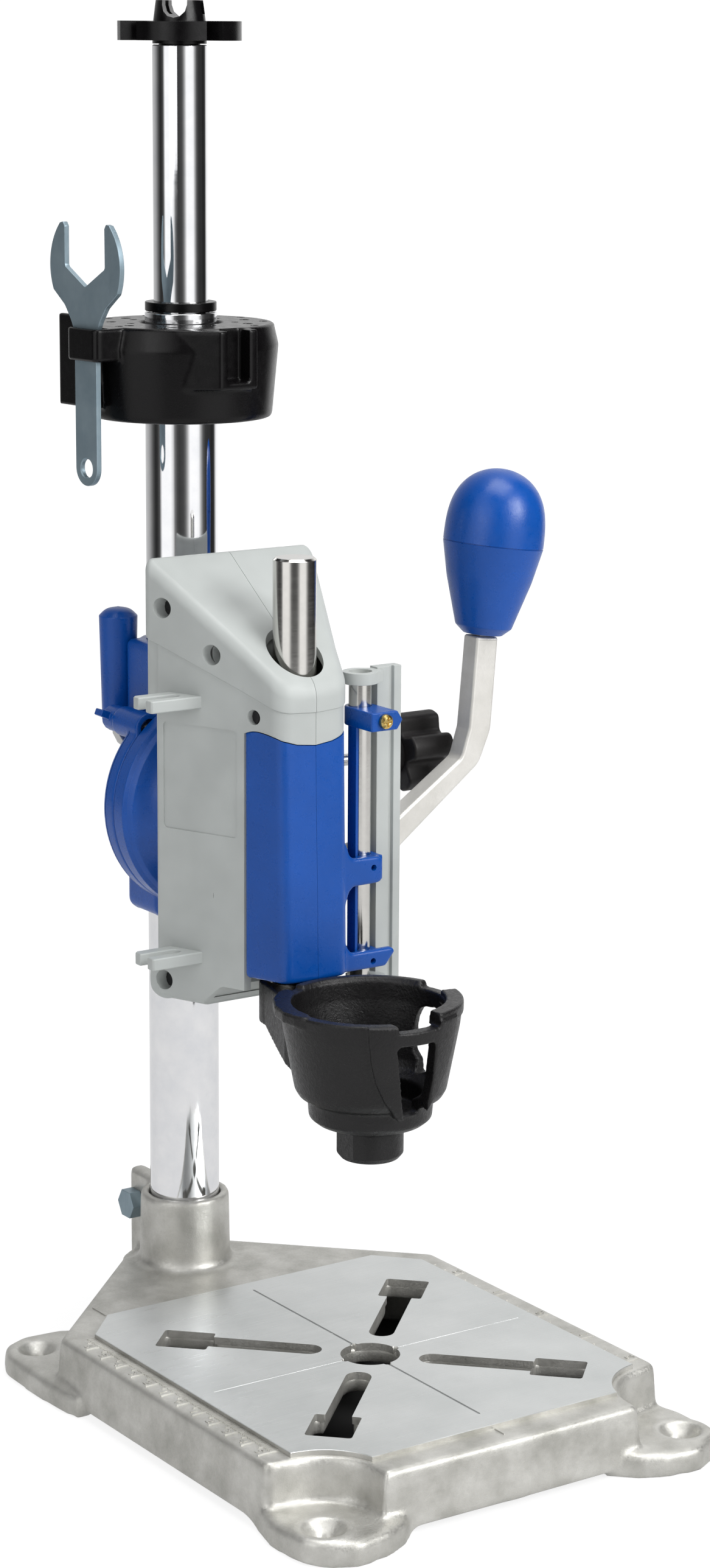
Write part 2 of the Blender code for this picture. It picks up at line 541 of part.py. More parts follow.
def make_body():
    body_half("body_left", -1)
    right = body_half("body_right", 1)
    lower = [(10.0, 150.4), (29.6, 150.4), (33.6, 155.0), (33.2, 156.4), (17.5, 156.4), (14.5, 158.0), (10.0, 160.5)]
    upper = [(10.0, 172.5), (14.5, 178.0), (18, 180.2), (26.2, 180.6), (28.3, 182.6), (28.3, 187.6), (26.2, 189.7),
             (18, 190.0), (14.5, 191.8), (10.0, 195)]
    for outline, foot, top, back in ((lower, 150.8, 155.6, 150.8), (upper, 180.8, 189.6, 174.0)):
        fuse(right, prism("arm", outline, -85.6, -82.8, BLUE, "Y"))
        fuse(right, box("rod_boss", (21.3, 30.4), (-83.2, -71.5), (foot, top), BLUE))
        fuse(right, box("arm_back", (12.8, 29.9), (-73.0, -71.5), (back, top - 0.4), BLUE))
    bulge = [(-71.2, 232.0)] + arc(-46.5, 217.5, 32.9, 153.8, 221.3, 10) + [(-71.2, 195.8)]
    fuse(right, prism("bulge", bulge, 13.6, 16.8, BLUE, "X"))
    cut(right, rod("guide_way", GUIDE_R + 0.12, 140, 200, BLUE, (GUIDE_X, GUIDE_Y), steps=20))
    for z in (152.8, 186.2):
        cut(right, rod("pin_hole", 0.9, -90, -80.5, BLUE, (GUIDE_X, z), "Y", 8))


def make_housing():
    housing_half("housing_left", -1)
    housing_half("housing_right", 1)
    for k, (y, z, r, seat, end) in enumerate(SCREWS):
        head = 2.6 if r > 3 else 2.3
        profile = [(0, seat - 2.2), (head, seat - 2.2), (head, seat - GAP), (1.5, seat - GAP), (1.5, end - GAP),
                   (0, end - GAP)]
        lathe("housing_screw_%d" % (k + 1), profile, ZINC, (y, z), "X", 10)
    tube("quill_bush_top", 10.45, QUILL_R + 0.08, 237, 243.5, BRONZE, (0, QUILL_Y), steps=24)
    tube("quill_bush_low", 10.45, QUILL_R + 0.08, 150.2, 157.6, BRONZE, (0, QUILL_Y), steps=24)


# ---- quill, rack, gauge and tool cup ----------------------------------------
def make_quill():
    quill = rod("quill_rod", QUILL_R, 135.2, 295, STEEL, (0, QUILL_Y), steps=24, chamfer=0.8)
    pitch = math.pi * MODULE
    pitch_y = PINION_Y - PITCH_R
    first = PINION_Z - 3 * pitch
    tip = pitch_y + MODULE
    flat = box("rack_flat", (-10, 10), (tip, tip + 5), (first - pitch / 2, first + 15 * pitch), STEEL)
    cut(quill, flat)
    for k in range(15):
        z = first + k * pitch
        gap = [(tip + 1, z - 0.449 * pitch), (tip + 1, z + 0.449 * pitch), (pitch_y - 1.7, z + 0.109 * pitch),
               (pitch_y - 1.7, z - 0.109 * pitch)]
        cut(quill, prism("rack_gap", gap, -10, 10, STEEL, "X"))
    origin(quill, 0, QUILL_Y, 210)
    rod("guide_rod", GUIDE_R, 131.7, 252, STEEL, (GUIDE_X, GUIDE_Y), steps=16, chamfer=0.5)
    rail = [(31.6, -77.4), (36.6, -77.4), (36.9, -76.2), (38.4, -76.2), (38.7, -77.4), (41.7, -77.4), (41.7, -72.8),
            (31.6, -72.8)]
    rail = prism("depth_rail", rail, 137.3, 254.6, GREY)
    ring = arc(GUIDE_X, GUIDE_Y, 6.35, 40, 320, 14)
    fuse(rail, prism("ring", ring + [(32.5, -79.6), (32.5, -74.2)], 249.9, 254.0, GREY))
    foot = [(22.0, -82.0), (33, -82.0), (33, -72.8), (22.0, -72.8)]
    fuse(rail, prism("foot", foot, 137.3, 146.0, GREY))
    cut(rail, rod("rod_way", GUIDE_R + 0.1, 130, 260, GREY, (GUIDE_X, GUIDE_Y), steps=20))
    back = arc(GUIDE_X, GUIDE_Y, 5.3, 0, 180, 8)
    clamp = back + [(19.5, -92.2), (27.6, -92.2), (30.0, -92.0), (30.0, -84)]
    clamp = prism("stop_clamp", clamp, 235.4, 242.0, BLUE)
    fuse(clamp, box("tongue", (19.5, 20.5), (-82.4, -77.4), (149.2, 237), BLUE))
    cut(clamp, rod("rod_way", GUIDE_R + 0.12, 230, 250, BLUE, (GUIDE_X, GUIDE_Y), steps=20))
    cut(clamp, rod("screw_way", 1.65, -95, -79, BLUE, (GUIDE_X, 238.8), "Y", 10))
    origin(clamp, GUIDE_X, GUIDE_Y, 238.8)
    screw = [(0, -94.3), (1.6, -94.3), (2.5, -93.6), (2.6, -92.5), (1.5, -92.5), (1.5, -81.4), (0, -81.4)]
    screw = lathe("stop_screw", screw, BRASS, (GUIDE_X, 238.8), "Y", 14)
    for x, z in ((1.8, 0.35), (0.35, 1.8)):
        cut(screw, box("cross", (GUIDE_X - x, GUIDE_X + x), (-95, -93.6), (238.8 - z, 238.8 + z), BRASS))


def sector(inner, outer, start, end, steps=6):
    """Outline of a part of a ring about the cup's axis, angles in degrees from +X."""
    return arc(0, CUP_Y, outer, start, end, steps) + arc(0, CUP_Y, inner, end, start, steps)


def make_cup():
    outer = [(0, 108.6), (18.2, 108.6), (20.9, 110.8), (21.4, 117.0), (24.4, 118.4), (25.8, 120.8), (30.0, 143),
             (30.9, 150.0), (0, 150.0)]
    cup = lathe("tool_cup", outer, BLACK, (0, CUP_Y), steps=28)
    boss = arc(0, QUILL_Y, 12.1, 0, 46, 3) + arc(0, QUILL_Y, 12.1, 134, 180, 3)
    block = boss + [(-17.5, -94.5), (-17.5, -104), (17.5, -104), (17.5, -94.5)]
    yoke = prism("yoke", block, 110, 147.4, BLACK)
    foot = [(-50, 105), (-50, 132.6), (-73.5, 132.4), (-86, 127.5), (-97.5, 123.6), (-112, 118), (-112, 105)]
    yoke_foot = prism("yoke_foot", foot, -30, 30, BLACK, "X")
    joined(yoke, yoke_foot, "DIFFERENCE")
    fuse(cup, yoke)
    lug = [(8, -76.5), (8, -66), (31.5, -66), (33, -70), (33, -82.2), (21.6, -82.2), (21.6, -76.5)]
    fuse(cup, prism("guide_lug", lug, 129, 137.0, BLACK))
    fuse(cup, prism("back_rim", sector(27.6, 31.2, 18, 112), 149, 151.3, BLACK))
    fuse(cup, prism("front_pad", sector(25.2, 31.2, -77, -12), 147.6, 152.0, BLACK))
    lip = [(-14.5, -92.4), (-19.0, -93.2), (-25.6, -99.6), (-30.6, -108.4), (-32.6, -116.5), (-32.0, -123),
           (-30.2, -128), (-24, -121), (-17, -103)]
    fuse(cup, prism("lip", lip, 146.6, 150.5, BLACK))
    shield = []
    for z, r, half in ((149.5, 31.5, 34), (143, 30.8, 33), (137, 29.9, 32), (130, 28.6, 29), (123.5, 27.3, 23),
                       (119, 26.4, 16.5), (115.6, 25.6, 11.5)):
        shield.append((sector(20.5 if z < 121 else r - 2.4, r, -92 - half, -92 + half), z))
    fuse(cup, loft("shield", shield[::-1], BLACK))
    inner = [(0, 100), (8.2, 100), (8.2, 112), (17.2, 112), (17.2, 119.4), (21.6, 121.4), (23.0, 124),
             (26.6, 143.5), (27.4, 161), (0, 161)]
    inside = lathe("inside", inner, BLACK, (0, CUP_Y), steps=28, start=0.05)
    joined(inside, prism("pad_kept", sector(24.7, 34, -77.6, -11.4), 147.1, 165, BLACK), "DIFFERENCE")
    cut(cup, inside)
    window = [(-9.5, 142.6), (5.4, 142.6), (5.9, 130), (5.3, 115.8), (-4.0, 115.8), (-6.3, 126.5)]
    cut(cup, prism("front_window", window[::-1], CUP_Y - 40, CUP_Y - 15, BLACK, "Y"))
    cut(cup, box("front_step", (-9.2, 7.0), (CUP_Y - 40, CUP_Y - 10), (147.4, 160), BLACK))
    side = [(-126.5, 142.6), (-120, 143.4), (-114.5, 141), (-112, 134), (-114, 127), (-118.5, 122.6), (-123, 124),
            (-126, 132)]
    cut(cup, prism("side_window", side, 15, 40, BLACK, "X"))
    cut(cup, prism("side_step", sector(5, 36, -13, 17, 3), 149.3, 160, BLACK))
    cut(cup, rod("quill_way", QUILL_R + 0.05, 134.9, 162, BLACK, (0, QUILL_Y), steps=24))
    cut(cup, rod("guide_way", GUIDE_R + 0.05, 131.4, 162, BLACK, (GUIDE_X, GUIDE_Y), steps=16))
    nose = [(4.9, 96.0), (9.9, 96.0), (11.4, 97.8), (11.4, 106.0), (10.9, 108.3), (8.0, 108.3), (8.0, 113.4),
            (4.9, 113.4)]
    nose = lathe("nose_cap", nose, BLACK, (0, CUP_Y), steps=12, closed=True)
    origin(nose, 0, CUP_Y, 103)


def gear_outline():
    pts = []
    pitch = 360.0 / TEETH
    for k in range(TEETH):
        base = 270 + k * pitch
        for da, r in ((-0.285, PITCH_R - 1.65), (-0.285, PITCH_R - 0.8), (-0.105, PITCH_R + 1.2),
                      (0.105, PITCH_R + 1.2), (0.285, PITCH_R - 0.8), (0.285, PITCH_R - 1.65)):
            a = math.radians(base + da * pitch)
            pts.append((r * math.sin(a), r * math.cos(a)))
    return [(PINION_Y + y, PINION_Z + z) for y, z in pts]


def make_feed():
    gear = prism("pinion", gear_outline(), -7.0, 7.0, STEEL, "X")
    fuse(gear, rod("shaft", 5.0, -23.2, 49.0, STEEL, (PINION_Y, PINION_Z), "X", 20))
    origin(gear, 0, PINION_Y, PINION_Z)
    front, back = PINION_Y - 4.3, PINION_Y + 4.3
    bar = [(44, 178.4), (55.5, 185.2), (88.2, 210.2), (91.6, 213.8), (93.6, 218.4), (95.8, 230.3), (98.0, 255.8),
           (88.5, 257.2), (86.1, 231.2), (84.6, 219.4), (82.6, 214.9), (59.4, 198.1), (44, 187.2)]
    lever = prism("feed_lever", bar, front, back, CAST, "Y")
    fuse(lever, rod("hub", 10.2, 37, 49.5, CAST, (PINION_Y, PINION_Z), "X", 24, 1.0))
    tang = [(91.0, 256), (95.4, 256), (98.0, 284), (93.6, 284)]
    fuse(lever, prism("tang", tang, PINION_Y - 2.4, PINION_Y + 2.4, CAST, "Y"))
    cut(lever, rod("shaft_way", 5.05, 30, 49.2, CAST, (PINION_Y, PINION_Z), "X", 24))
    cut(lever, rod("bolt_way", 2.2, 45, 60, CAST, (PINION_Y, PINION_Z), "X", 10))
    origin(lever, 0, PINION_Y, PINION_Z)
    bolt = lathe("lever_bolt", [(0, 49.4), (2.0, 49.4), (2.0, 49.8), (4.6, 49.8), (4.6, 52.4), (0, 53.2)], ZINC,
                 (PINION_Y, PINION_Z), "X", 12)
    origin(bolt, 0, PINION_Y, PINION_Z)
    dome = [(KNOB_R * math.cos(math.radians(t)), KNOB_SEAM + (KNOB_TOP - KNOB_SEAM) * math.sin(math.radians(t)))
            for t in (0, 16, 32, 48, 62, 74, 83)]
    egg = [(0, 0), (6.8, 0), (10.3, 3.0), (17.4, 26.4)] + dome + [(0, KNOB_TOP)]
    knob = lathe("lever_knob", egg, BLUE, steps=24)
    cut(knob, prism("tang_way", [(-3.1, -2.7), (3.1, -2.7), (3.1, 2.7), (-3.1, 2.7)], -1, 30, BLUE))
    lean = Matrix.Translation(Vector((93.2, PINION_Y, 257.4)) * MM) @ Matrix.Rotation(math.radians(5.3), 4, "Y")
    knob.data.transform(lean)
    bpy.data.objects["tang_way"].data.transform(lean)
    coil("feed_spring", STEEL, (PINION_Y, PINION_Z), "X", 6.6, 0.6, -18.6, -8.4, 5, 8, 4)


make_base()
make_column()
make_tray()
make_wrench()
make_bracket()
make_tilt()
make_housing()
make_body()
make_quill()
make_cup()
make_feed()
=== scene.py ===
"""Looks of the bench drill stand: cast table, chromed column, tilting head, feed lever and tool cup."""

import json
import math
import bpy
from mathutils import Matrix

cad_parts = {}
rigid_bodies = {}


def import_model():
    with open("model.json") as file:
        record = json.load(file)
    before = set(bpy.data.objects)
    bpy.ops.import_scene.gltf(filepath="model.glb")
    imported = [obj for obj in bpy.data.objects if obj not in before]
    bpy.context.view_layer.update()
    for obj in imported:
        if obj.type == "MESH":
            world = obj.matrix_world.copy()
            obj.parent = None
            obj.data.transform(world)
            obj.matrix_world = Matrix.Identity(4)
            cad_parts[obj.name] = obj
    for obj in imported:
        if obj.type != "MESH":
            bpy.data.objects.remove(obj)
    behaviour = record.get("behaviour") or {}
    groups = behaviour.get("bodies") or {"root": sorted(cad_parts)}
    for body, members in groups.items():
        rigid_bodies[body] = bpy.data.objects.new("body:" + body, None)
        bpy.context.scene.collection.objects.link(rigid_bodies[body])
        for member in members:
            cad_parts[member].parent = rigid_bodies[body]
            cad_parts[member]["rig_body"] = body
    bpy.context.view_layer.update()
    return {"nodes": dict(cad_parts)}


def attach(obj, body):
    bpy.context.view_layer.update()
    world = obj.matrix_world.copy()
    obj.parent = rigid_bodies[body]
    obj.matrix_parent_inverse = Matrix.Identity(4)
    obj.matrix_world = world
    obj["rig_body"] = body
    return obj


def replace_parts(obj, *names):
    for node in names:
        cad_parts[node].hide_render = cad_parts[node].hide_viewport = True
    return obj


bl_info = {
    "name": "Drill stand dressing",
    "version": (1, 0, 0),
    "blender": (4, 5, 0),
    "location": "3D View > Sidebar > Drill Stand",
    "description": "Builds the finished look of a bench drill stand around its packed solids",
    "category": "Object",
}

import bmesh
import bpy
import numpy as np
from mathutils import Matrix, Vector

MM = 0.001

# camera fitted to the photograph
EYE = (-0.64659, -1.06309, 0.47121)
YAW, PITCH, ROLL = math.radians(34.17), math.radians(12.16), math.radians(0.34)
LENS = 80.89
SENSOR = 36.0

# places shared with the solids, in millimetres
TABLE_Y = -122.0
TILT_Z = 200.7
QUILL_Y = -73.5
GUIDE_X, GUIDE_Y = 24.7, -77.0
CUP_Y = -121.0
PINION_Y, PINION_Z = -53.5, 177.0
LOCK_Y, LOCK_Z = -27.7, 211.0
TABLE, QUILL, GUIDE, CUP = (0, TABLE_Y), (0, QUILL_Y), (GUIDE_X, GUIDE_Y), (0, CUP_Y)
TILT, PINION, LOCK = (0, TILT_Z), (PINION_Y, PINION_Z), (LOCK_Y, LOCK_Z)
SHARP = 0.01  # how far the edges of a cutter are drawn in

for old in list(bpy.data.objects):
    bpy.data.objects.remove(old, do_unlink=True)
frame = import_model()
BODY_OF = {node: obj["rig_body"] for node, obj in frame["nodes"].items()}


# outlines, in millimetres
def fillet(points, radius, closed=True, steps=6):
    """Corner points joined by straight lines, with each corner replaced by a tangent arc."""
    pts = np.asarray(points, float)
    radii = np.broadcast_to(radius, len(pts))
    parts = []
    for i, p in enumerate(pts):
        if not closed and i in (0, len(pts) - 1):
            parts.append(p[None])
            continue
        to_a, to_b = pts[i - 1] - p, pts[(i + 1) % len(pts)] - p
        la, lb = np.linalg.norm(to_a), np.linalg.norm(to_b)
        to_a, to_b = to_a / la, to_b / lb
        angle = math.acos(max(-1.0, min(1.0, float(to_a @ to_b))))
        if radii[i] < 1e-6 or angle > math.pi - 0.01:
            parts.append(p[None])
            continue
        reach = min(radii[i] / math.tan(angle / 2), 0.49 * la, 0.49 * lb)
        r = reach * math.tan(angle / 2)
        middle = to_a + to_b
        centre = p + middle / np.linalg.norm(middle) * r / math.sin(angle / 2)
        s, e = p + to_a * reach - centre, p + to_b * reach - centre
        a0, a1 = math.atan2(s[1], s[0]), math.atan2(e[1], e[0])
        turn = (a1 - a0 + math.pi) % (2 * math.pi) - math.pi
        t = a0 + turn * np.linspace(0, 1, steps + 1)
        parts.append(centre + r * np.stack([np.cos(t), np.sin(t)], 1))
    return np.vstack(parts)


def arc(cx, cy, r, start, end, steps=8):
    """Points on a circle from one angle to another, in degrees."""
    t = np.radians(np.linspace(start, end, steps + 1))
    return np.stack([cx + r * np.cos(t), cy + r * np.sin(t)], 1)


def inset(line, depth):
    """Closed outline moved sideways by a depth, each point along the mean of its two edges' normals."""
    edge = np.roll(line, -1, 0) - line
    edge /= np.linalg.norm(edge, axis=1)[:, None] + 1e-12
    normal = np.stack([-edge[:, 1], edge[:, 0]], 1)
    before = np.roll(normal, 1, 0)
    joint = (normal + before) / (1 + (normal * before).sum(1))[:, None].clip(0.3)
    x, y = line[:, 0], line[:, 1]
    area = (x * np.roll(y, -1) - y * np.roll(x, -1)).sum()
    return line + joint * depth * np.sign(area)


def laid(flat, along, axis):
    """Plane points plus their place along an axis, as points in space."""
    a, b, c = flat[..., 0], flat[..., 1], np.broadcast_to(along, flat[..., 0].shape)
    order = {"Z": (a, b, c), "Y": (a, c, b), "X": (c, a, b)}[axis]
    return np.stack(order, -1)


# meshes
def finished(obj, finish, node, smooth=38.0):
    """Gives a mesh its material, smooth shading up to an angle, and the body that the node rides on."""
    mesh = obj.data
    mesh.materials.clear()
    mesh.materials.append(FINISH[finish])
    mesh.shade_smooth()
    mesh.set_sharp_from_angle(angle=math.radians(smooth))
    weighted = obj.modifiers.new("even_shading", "WEIGHTED_NORMAL")
    weighted.keep_sharp = True
    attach(obj, BODY_OF[node])
    return obj


def placed(name, data):
    """New object in the scene."""
    obj = bpy.data.objects.new(name, data)
    bpy.context.scene.collection.objects.link(obj)
    return obj


def raw(name, verts, faces):
    """Closed mesh from millimetre points with merged doubles and outward normals."""
    mesh = bpy.data.meshes.new(name)
    mesh.from_pydata((np.asarray(verts, float) * MM).tolist(), [], faces)
    bm = bmesh.new()
    bm.from_mesh(mesh)
    bmesh.ops.remove_doubles(bm, verts=bm.verts, dist=0.004 * MM)
    bmesh.ops.recalc_face_normals(bm, faces=bm.faces)
    bm.to_mesh(mesh)
    bm.free()
    return placed(name, mesh)


def skin(name, grid, caps=True, ends=False):
    """Surface over a grid of points (rows, columns, 3), closed by caps or by joining its last row to the first."""
    rows, cols = grid.shape[:2]
    index = np.arange(rows * cols).reshape(rows, cols)
    right = np.roll(index, -1, 1)
    faces = np.stack([index[:-1], right[:-1], right[1:], index[1:]], -1).reshape(-1, 4)
    if ends:
        faces = np.vstack([faces, np.stack([index[-1], right[-1], right[0], index[0]], -1)])
    faces = faces.tolist()
    if caps:
        faces += [index[0][::-1].tolist(), index[-1].tolist()]
    return raw(name, grid.reshape(-1, 3), faces)


def slab(name, outline, low, high, edge=0.6, axis="Z", steps=3, edge_high=None):
    """Outline carried along an axis; near each end it draws in along a quarter circle."""
    t = np.linspace(0, math.pi / 2, steps + 1)
    top = edge if edge_high is None else edge_high
    draw = np.concatenate([edge * (1 - np.sin(t)), top * (1 - np.sin(t))[::-1]])
    along = np.concatenate([low + edge * (1 - np.cos(t)), (high - top * (1 - np.cos(t)))[::-1]])
    line = np.asarray(outline, float)
    grid = np.stack([laid(inset(line, d), a, axis) for d, a in zip(draw, along)])
    return skin(name, grid)


def walled(name, outline, rows, axis="Z"):
    """Outline carried along an axis through rows of (place along, depth drawn in)."""
    line = np.asarray(outline, float)
    return skin(name, np.stack([laid(inset(line, depth), along, axis) for along, depth in rows]))


def level(z):
    """Height function of a level row."""
    return lambda y: np.full_like(y, z)


def raised(name, outline, rows):
    """Outline carried up through rows of (height(y), depth drawn in, forward shift(y))."""
    line = np.asarray(outline, float)
    grid = []
    for height, depth, *shift in rows:
        flat = inset(line, depth)
        y = flat[:, 1] - (shift[0](flat[:, 1]) if shift else 0)
        grid.append(np.stack([flat[:, 0], y, height(flat[:, 1])], 1))
    return skin(name, np.stack(grid))


def block(name, x, y, z):
    """Plain box between two corners."""
    return slab(name, [(x[0], y[0]), (x[1], y[0]), (x[1], y[1]), (x[0], y[1])], z[0], z[1], 0.001, steps=1)


def sector(inner, outer, start, end, steps=24):
    """Outline of a part of a ring about the cup's axis, angles in degrees from +X."""
    return np.vstack([arc(0, CUP_Y, outer, start, end, steps), arc(0, CUP_Y, inner, end, start, steps)])


def mirrored(half):
    """Right half outline closed with its mirror image."""
    half = np.asarray(half, float)
    left = half[::-1] * (-1, 1)
    return np.vstack([half, left[np.abs(left[:, 0]) > 1e-6]])


def spun(outline, angle, centre=(0.0, 0.0)):
    """Outline turned about a point by an angle in degrees."""
    c, s = math.cos(math.radians(angle)), math.sin(math.radians(angle))
    return (np.asarray(outline, float) - centre) @ np.array([[c, s], [-s, c]]) + centre


def bars(name, boxes, height, low):
    """Many small raised strips at once: each row of boxes is x, y of one corner and of the one opposite."""
    b = np.asarray(boxes, float)
    draft = 0.12
    flat = np.stack([b[:, [0, 2, 2, 0]], b[:, [1, 1, 3, 3]]], -1)
    top = flat - np.sign(flat - flat.mean(1, keepdims=True)) * draft
    verts = np.concatenate([laid(flat, low, "Z"), laid(top, low + height, "Z")], 1).reshape(-1, 3)
    start = (np.arange(len(b)) * 8)[:, None, None]
    faces = np.array([[0, 3, 2, 1], [4, 5, 6, 7], [0, 1, 5, 4], [1, 2, 6, 5], [2, 3, 7, 6], [3, 0, 4, 7]])
    return raw(name, verts, (start + faces).reshape(-1, 4).tolist())


def turned(name, profile, centre=(0.0, 0.0), axis="Z", steps=64, ring=False):
    """Surface of revolution: point = centre + r (cos t, sin t), for a profile of (r, place along)."""
    line = np.asarray(profile, float)
    t = np.linspace(0, 2 * math.pi, steps, endpoint=False)
    circle = np.stack([np.cos(t), np.sin(t)], 1)
    flat = np.asarray(centre) + line[:, 0][:, None, None] * circle[None]
    grid = laid(flat, line[:, 1][:, None], axis)
    return skin(name, grid, caps=not ring and line[0, 0] > 1e-6, ends=ring)


def rod(name, r, low, high, centre=(0.0, 0.0), axis="Z", steps=64):
    """Plain cylinder between two places along an axis."""
    return turned(name, [(0, low), (r, low), (r, high), (0, high)], centre, axis, steps)


def settle(obj):
    """Replaces an object's mesh by the result of its modifiers."""
    bpy.context.view_layer.update()
    graph = bpy.context.evaluated_depsgraph_get()
    mesh = bpy.data.meshes.new_from_object(obj.evaluated_get(graph))
    obj.modifiers.clear()
    obj.data = mesh
    return obj


def combine(target, *tools, operation="DIFFERENCE"):
    """Boolean with each tool in turn, applied at once; the tools are removed."""
    for tool in tools:
        mod = target.modifiers.new("combine", "BOOLEAN")
        mod.operation = operation
        mod.solver = "MANIFOLD"
        mod.object = tool
        settle(target)
        bpy.data.objects.remove(tool, do_unlink=True)
    return target


def fused(target, *tools):
    """Boolean union with each tool in turn."""
    return combine(target, *tools, operation="UNION")


def parted(whole, name, seam):
    """Cuts a body to its left half, and returns the right half, each half a seam's width off the middle."""
    right = placed(name, whole.data.copy())
    combine(whole, block("split", (-seam, 60), (-120, 0), (100, 330)))
    combine(right, block("split", (-60, seam), (-120, 0), (100, 330)))
    return right


def bevelled(obj, width, segments=2, angle=35.0):
    """Rounds every edge sharper than an angle."""
    mod = obj.modifiers.new("edges", "BEVEL")
    mod.width = width * MM
    mod.segments = segments
    mod.limit_method = "ANGLE"
    mod.angle_limit = math.radians(angle)
    mod.miter_outer = "MITER_ARC"
    return settle(obj)


def cast_over(obj, voxel, rounds=6, factor=0.6):
    """Fuses a mesh into one skin of even cells and smooths it, which rounds its edges and corners."""
    mod = obj.modifiers.new("one_skin", "REMESH")
    mod.mode = "VOXEL"
    mod.voxel_size = voxel * MM
    settle(obj)
    mod = obj.modifiers.new("soften", "SMOOTH")
    mod.iterations = rounds
    mod.factor = factor
    return settle(obj)


def merged(target, *others):
    """Joins the meshes of other objects into one object, without a boolean."""
    bm = bmesh.new()
    for obj in (target, *others):
        bm.from_mesh(obj.data)
    bmesh.ops.remove_doubles(bm, verts=bm.verts, dist=0.002 * MM)
    bm.to_mesh(target.data)
    bm.free()
    for obj in others:
        bpy.data.objects.remove(obj, do_unlink=True)
    return target


def words(name, text, size, place, turn, height):
    """Raised figures: flat text made a mesh, thickened, and then put in its place in millimetres."""
    curve = bpy.data.curves.new(name, "FONT")
    curve.body = text
    curve.size = size * MM
    curve.extrude = height * MM / 2
    curve.offset = 0.04 * MM
    curve.align_x = "CENTER"
    curve.align_y = "CENTER"
    holder = placed(name, curve)
    bpy.context.view_layer.update()
    mesh = bpy.data.meshes.new_from_object(holder.evaluated_get(bpy.context.evaluated_depsgraph_get()))
    bpy.data.objects.remove(holder, do_unlink=True)
    mesh.transform(Matrix.Translation(Vector(place) * MM) @ Matrix.Rotation(math.radians(turn), 4, "Z"))
    return placed(name, mesh)


def from_solid(node, width=0.0, segments=2):
    """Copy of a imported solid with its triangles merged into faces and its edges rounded."""
    mesh = frame["nodes"][node].data.copy()
    obj = placed(node + "_skin", mesh)
    bm = bmesh.new()
    bm.from_mesh(mesh)
    bmesh.ops.remove_doubles(bm, verts=bm.verts, dist=0.01 * MM)
    bmesh.ops.dissolve_limit(bm, angle_limit=math.radians(1.0), verts=bm.verts, edges=bm.edges)
    bm.to_mesh(mesh)
    bm.free()
    if width:
        bevelled(obj, width, segments)
    return obj


def dressed(node, finish, width=0.3, segments=2):
    """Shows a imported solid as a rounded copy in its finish."""
    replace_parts(finished(from_solid(node, width, segments), finish, node), node)


# materials
def linear(r, g, b):
    """Screen colour from 0 to 255 to linear light."""
    c = np.array([r, g, b], float) / 255
    return tuple(np.where(c <= 0.04045, c / 12.92, ((c + 0.055) / 1.055) ** 2.4))


class Nodes:
    """Node tree with short calls for new nodes and links."""

    def __init__(self, owner):
        owner.use_nodes = True
        self.tree = owner.node_tree

    def node(self, kind, **values):
        """New node with inputs or settings by name."""
        made = self.tree.nodes.new(kind)
        for key, value in values.items():
            if key in made.inputs:
                made.inputs[key].default_value = value
            else:
                setattr(made, key, value)
        return made

    def link(self, a, b):
        self.tree.links.new(a, b)


class Finish(Nodes):
    """Builder for one node material in Object coordinates."""

    def __init__(self, name, colour, metallic=0.0, roughness=0.5):
        self.material = bpy.data.materials.new(name)
        super().__init__(self.material)
        self.shader = self.tree.nodes["Principled BSDF"]
        self.shader.inputs["Base Color"].default_value = (*colour, 1)
        self.shader.inputs["Metallic"].default_value = metallic
        self.shader.inputs["Roughness"].default_value = roughness
        self.place = self.node("ShaderNodeTexCoord").outputs["Object"]
        self.normal = None

    def noise(self, size, detail=3.0, roughness=0.6, stretch=None, turn=(0, 0, 0)):
        """Noise whose grains are size millimetres across, stretched along axes if asked."""
        made = self.node("ShaderNodeTexNoise", Scale=1.0 / (size * MM), Detail=detail, Roughness=roughness)
        if stretch:
            mapping = self.node("ShaderNodeMapping", Scale=stretch, Rotation=turn)
            self.link(self.place, mapping.inputs["Vector"])
            self.link(mapping.outputs[0], made.inputs["Vector"])
        else:
            self.link(self.place, made.inputs["Vector"])
        return made.outputs["Fac"]

    def ranged(self, value, low, high, new_low, new_high):
        """A value from low to high, spread over a new range."""
        made = self.node("ShaderNodeMapRange")
        for key, number in (("From Min", low), ("From Max", high), ("To Min", new_low), ("To Max", new_high)):
            made.inputs[key].default_value = number
        self.link(value, made.inputs["Value"])
        return made.outputs[0]

    def tint(self, value, dark, light):
        """Base colour that runs from dark to light with a value from 0 to 1."""
        mix = self.node("ShaderNodeMix", data_type="RGBA")
        mix.inputs[6].default_value = (*dark, 1)
        mix.inputs[7].default_value = (*light, 1)
        self.link(value, mix.inputs[0])
        self.link(mix.outputs[2], self.shader.inputs["Base Color"])
        return self

    def clouded(self, size, detail, dark, light):
        """Base colour that drifts between two screen colours, in clouds of a size."""
        return self.tint(self.ranged(self.noise(size, detail), 0.3, 0.7, 0, 1), linear(*dark), linear(*light))

    def rough(self, value, low, high):
        """Roughness that runs from low to high with a noise."""
        self.link(self.ranged(value, 0.3, 0.7, low, high), self.shader.inputs["Roughness"])
        return self

    def bump(self, value, depth, strength=1.0):
        """Bump of a depth in millimetres, added to those before it."""
        made = self.node("ShaderNodeBump", Strength=strength, Distance=depth * MM)
        self.link(value, made.inputs["Height"])
        if self.normal:
            self.link(self.normal, made.inputs["Normal"])
        self.normal = made.outputs[0]
        self.link(self.normal, self.shader.inputs["Normal"])
        return self


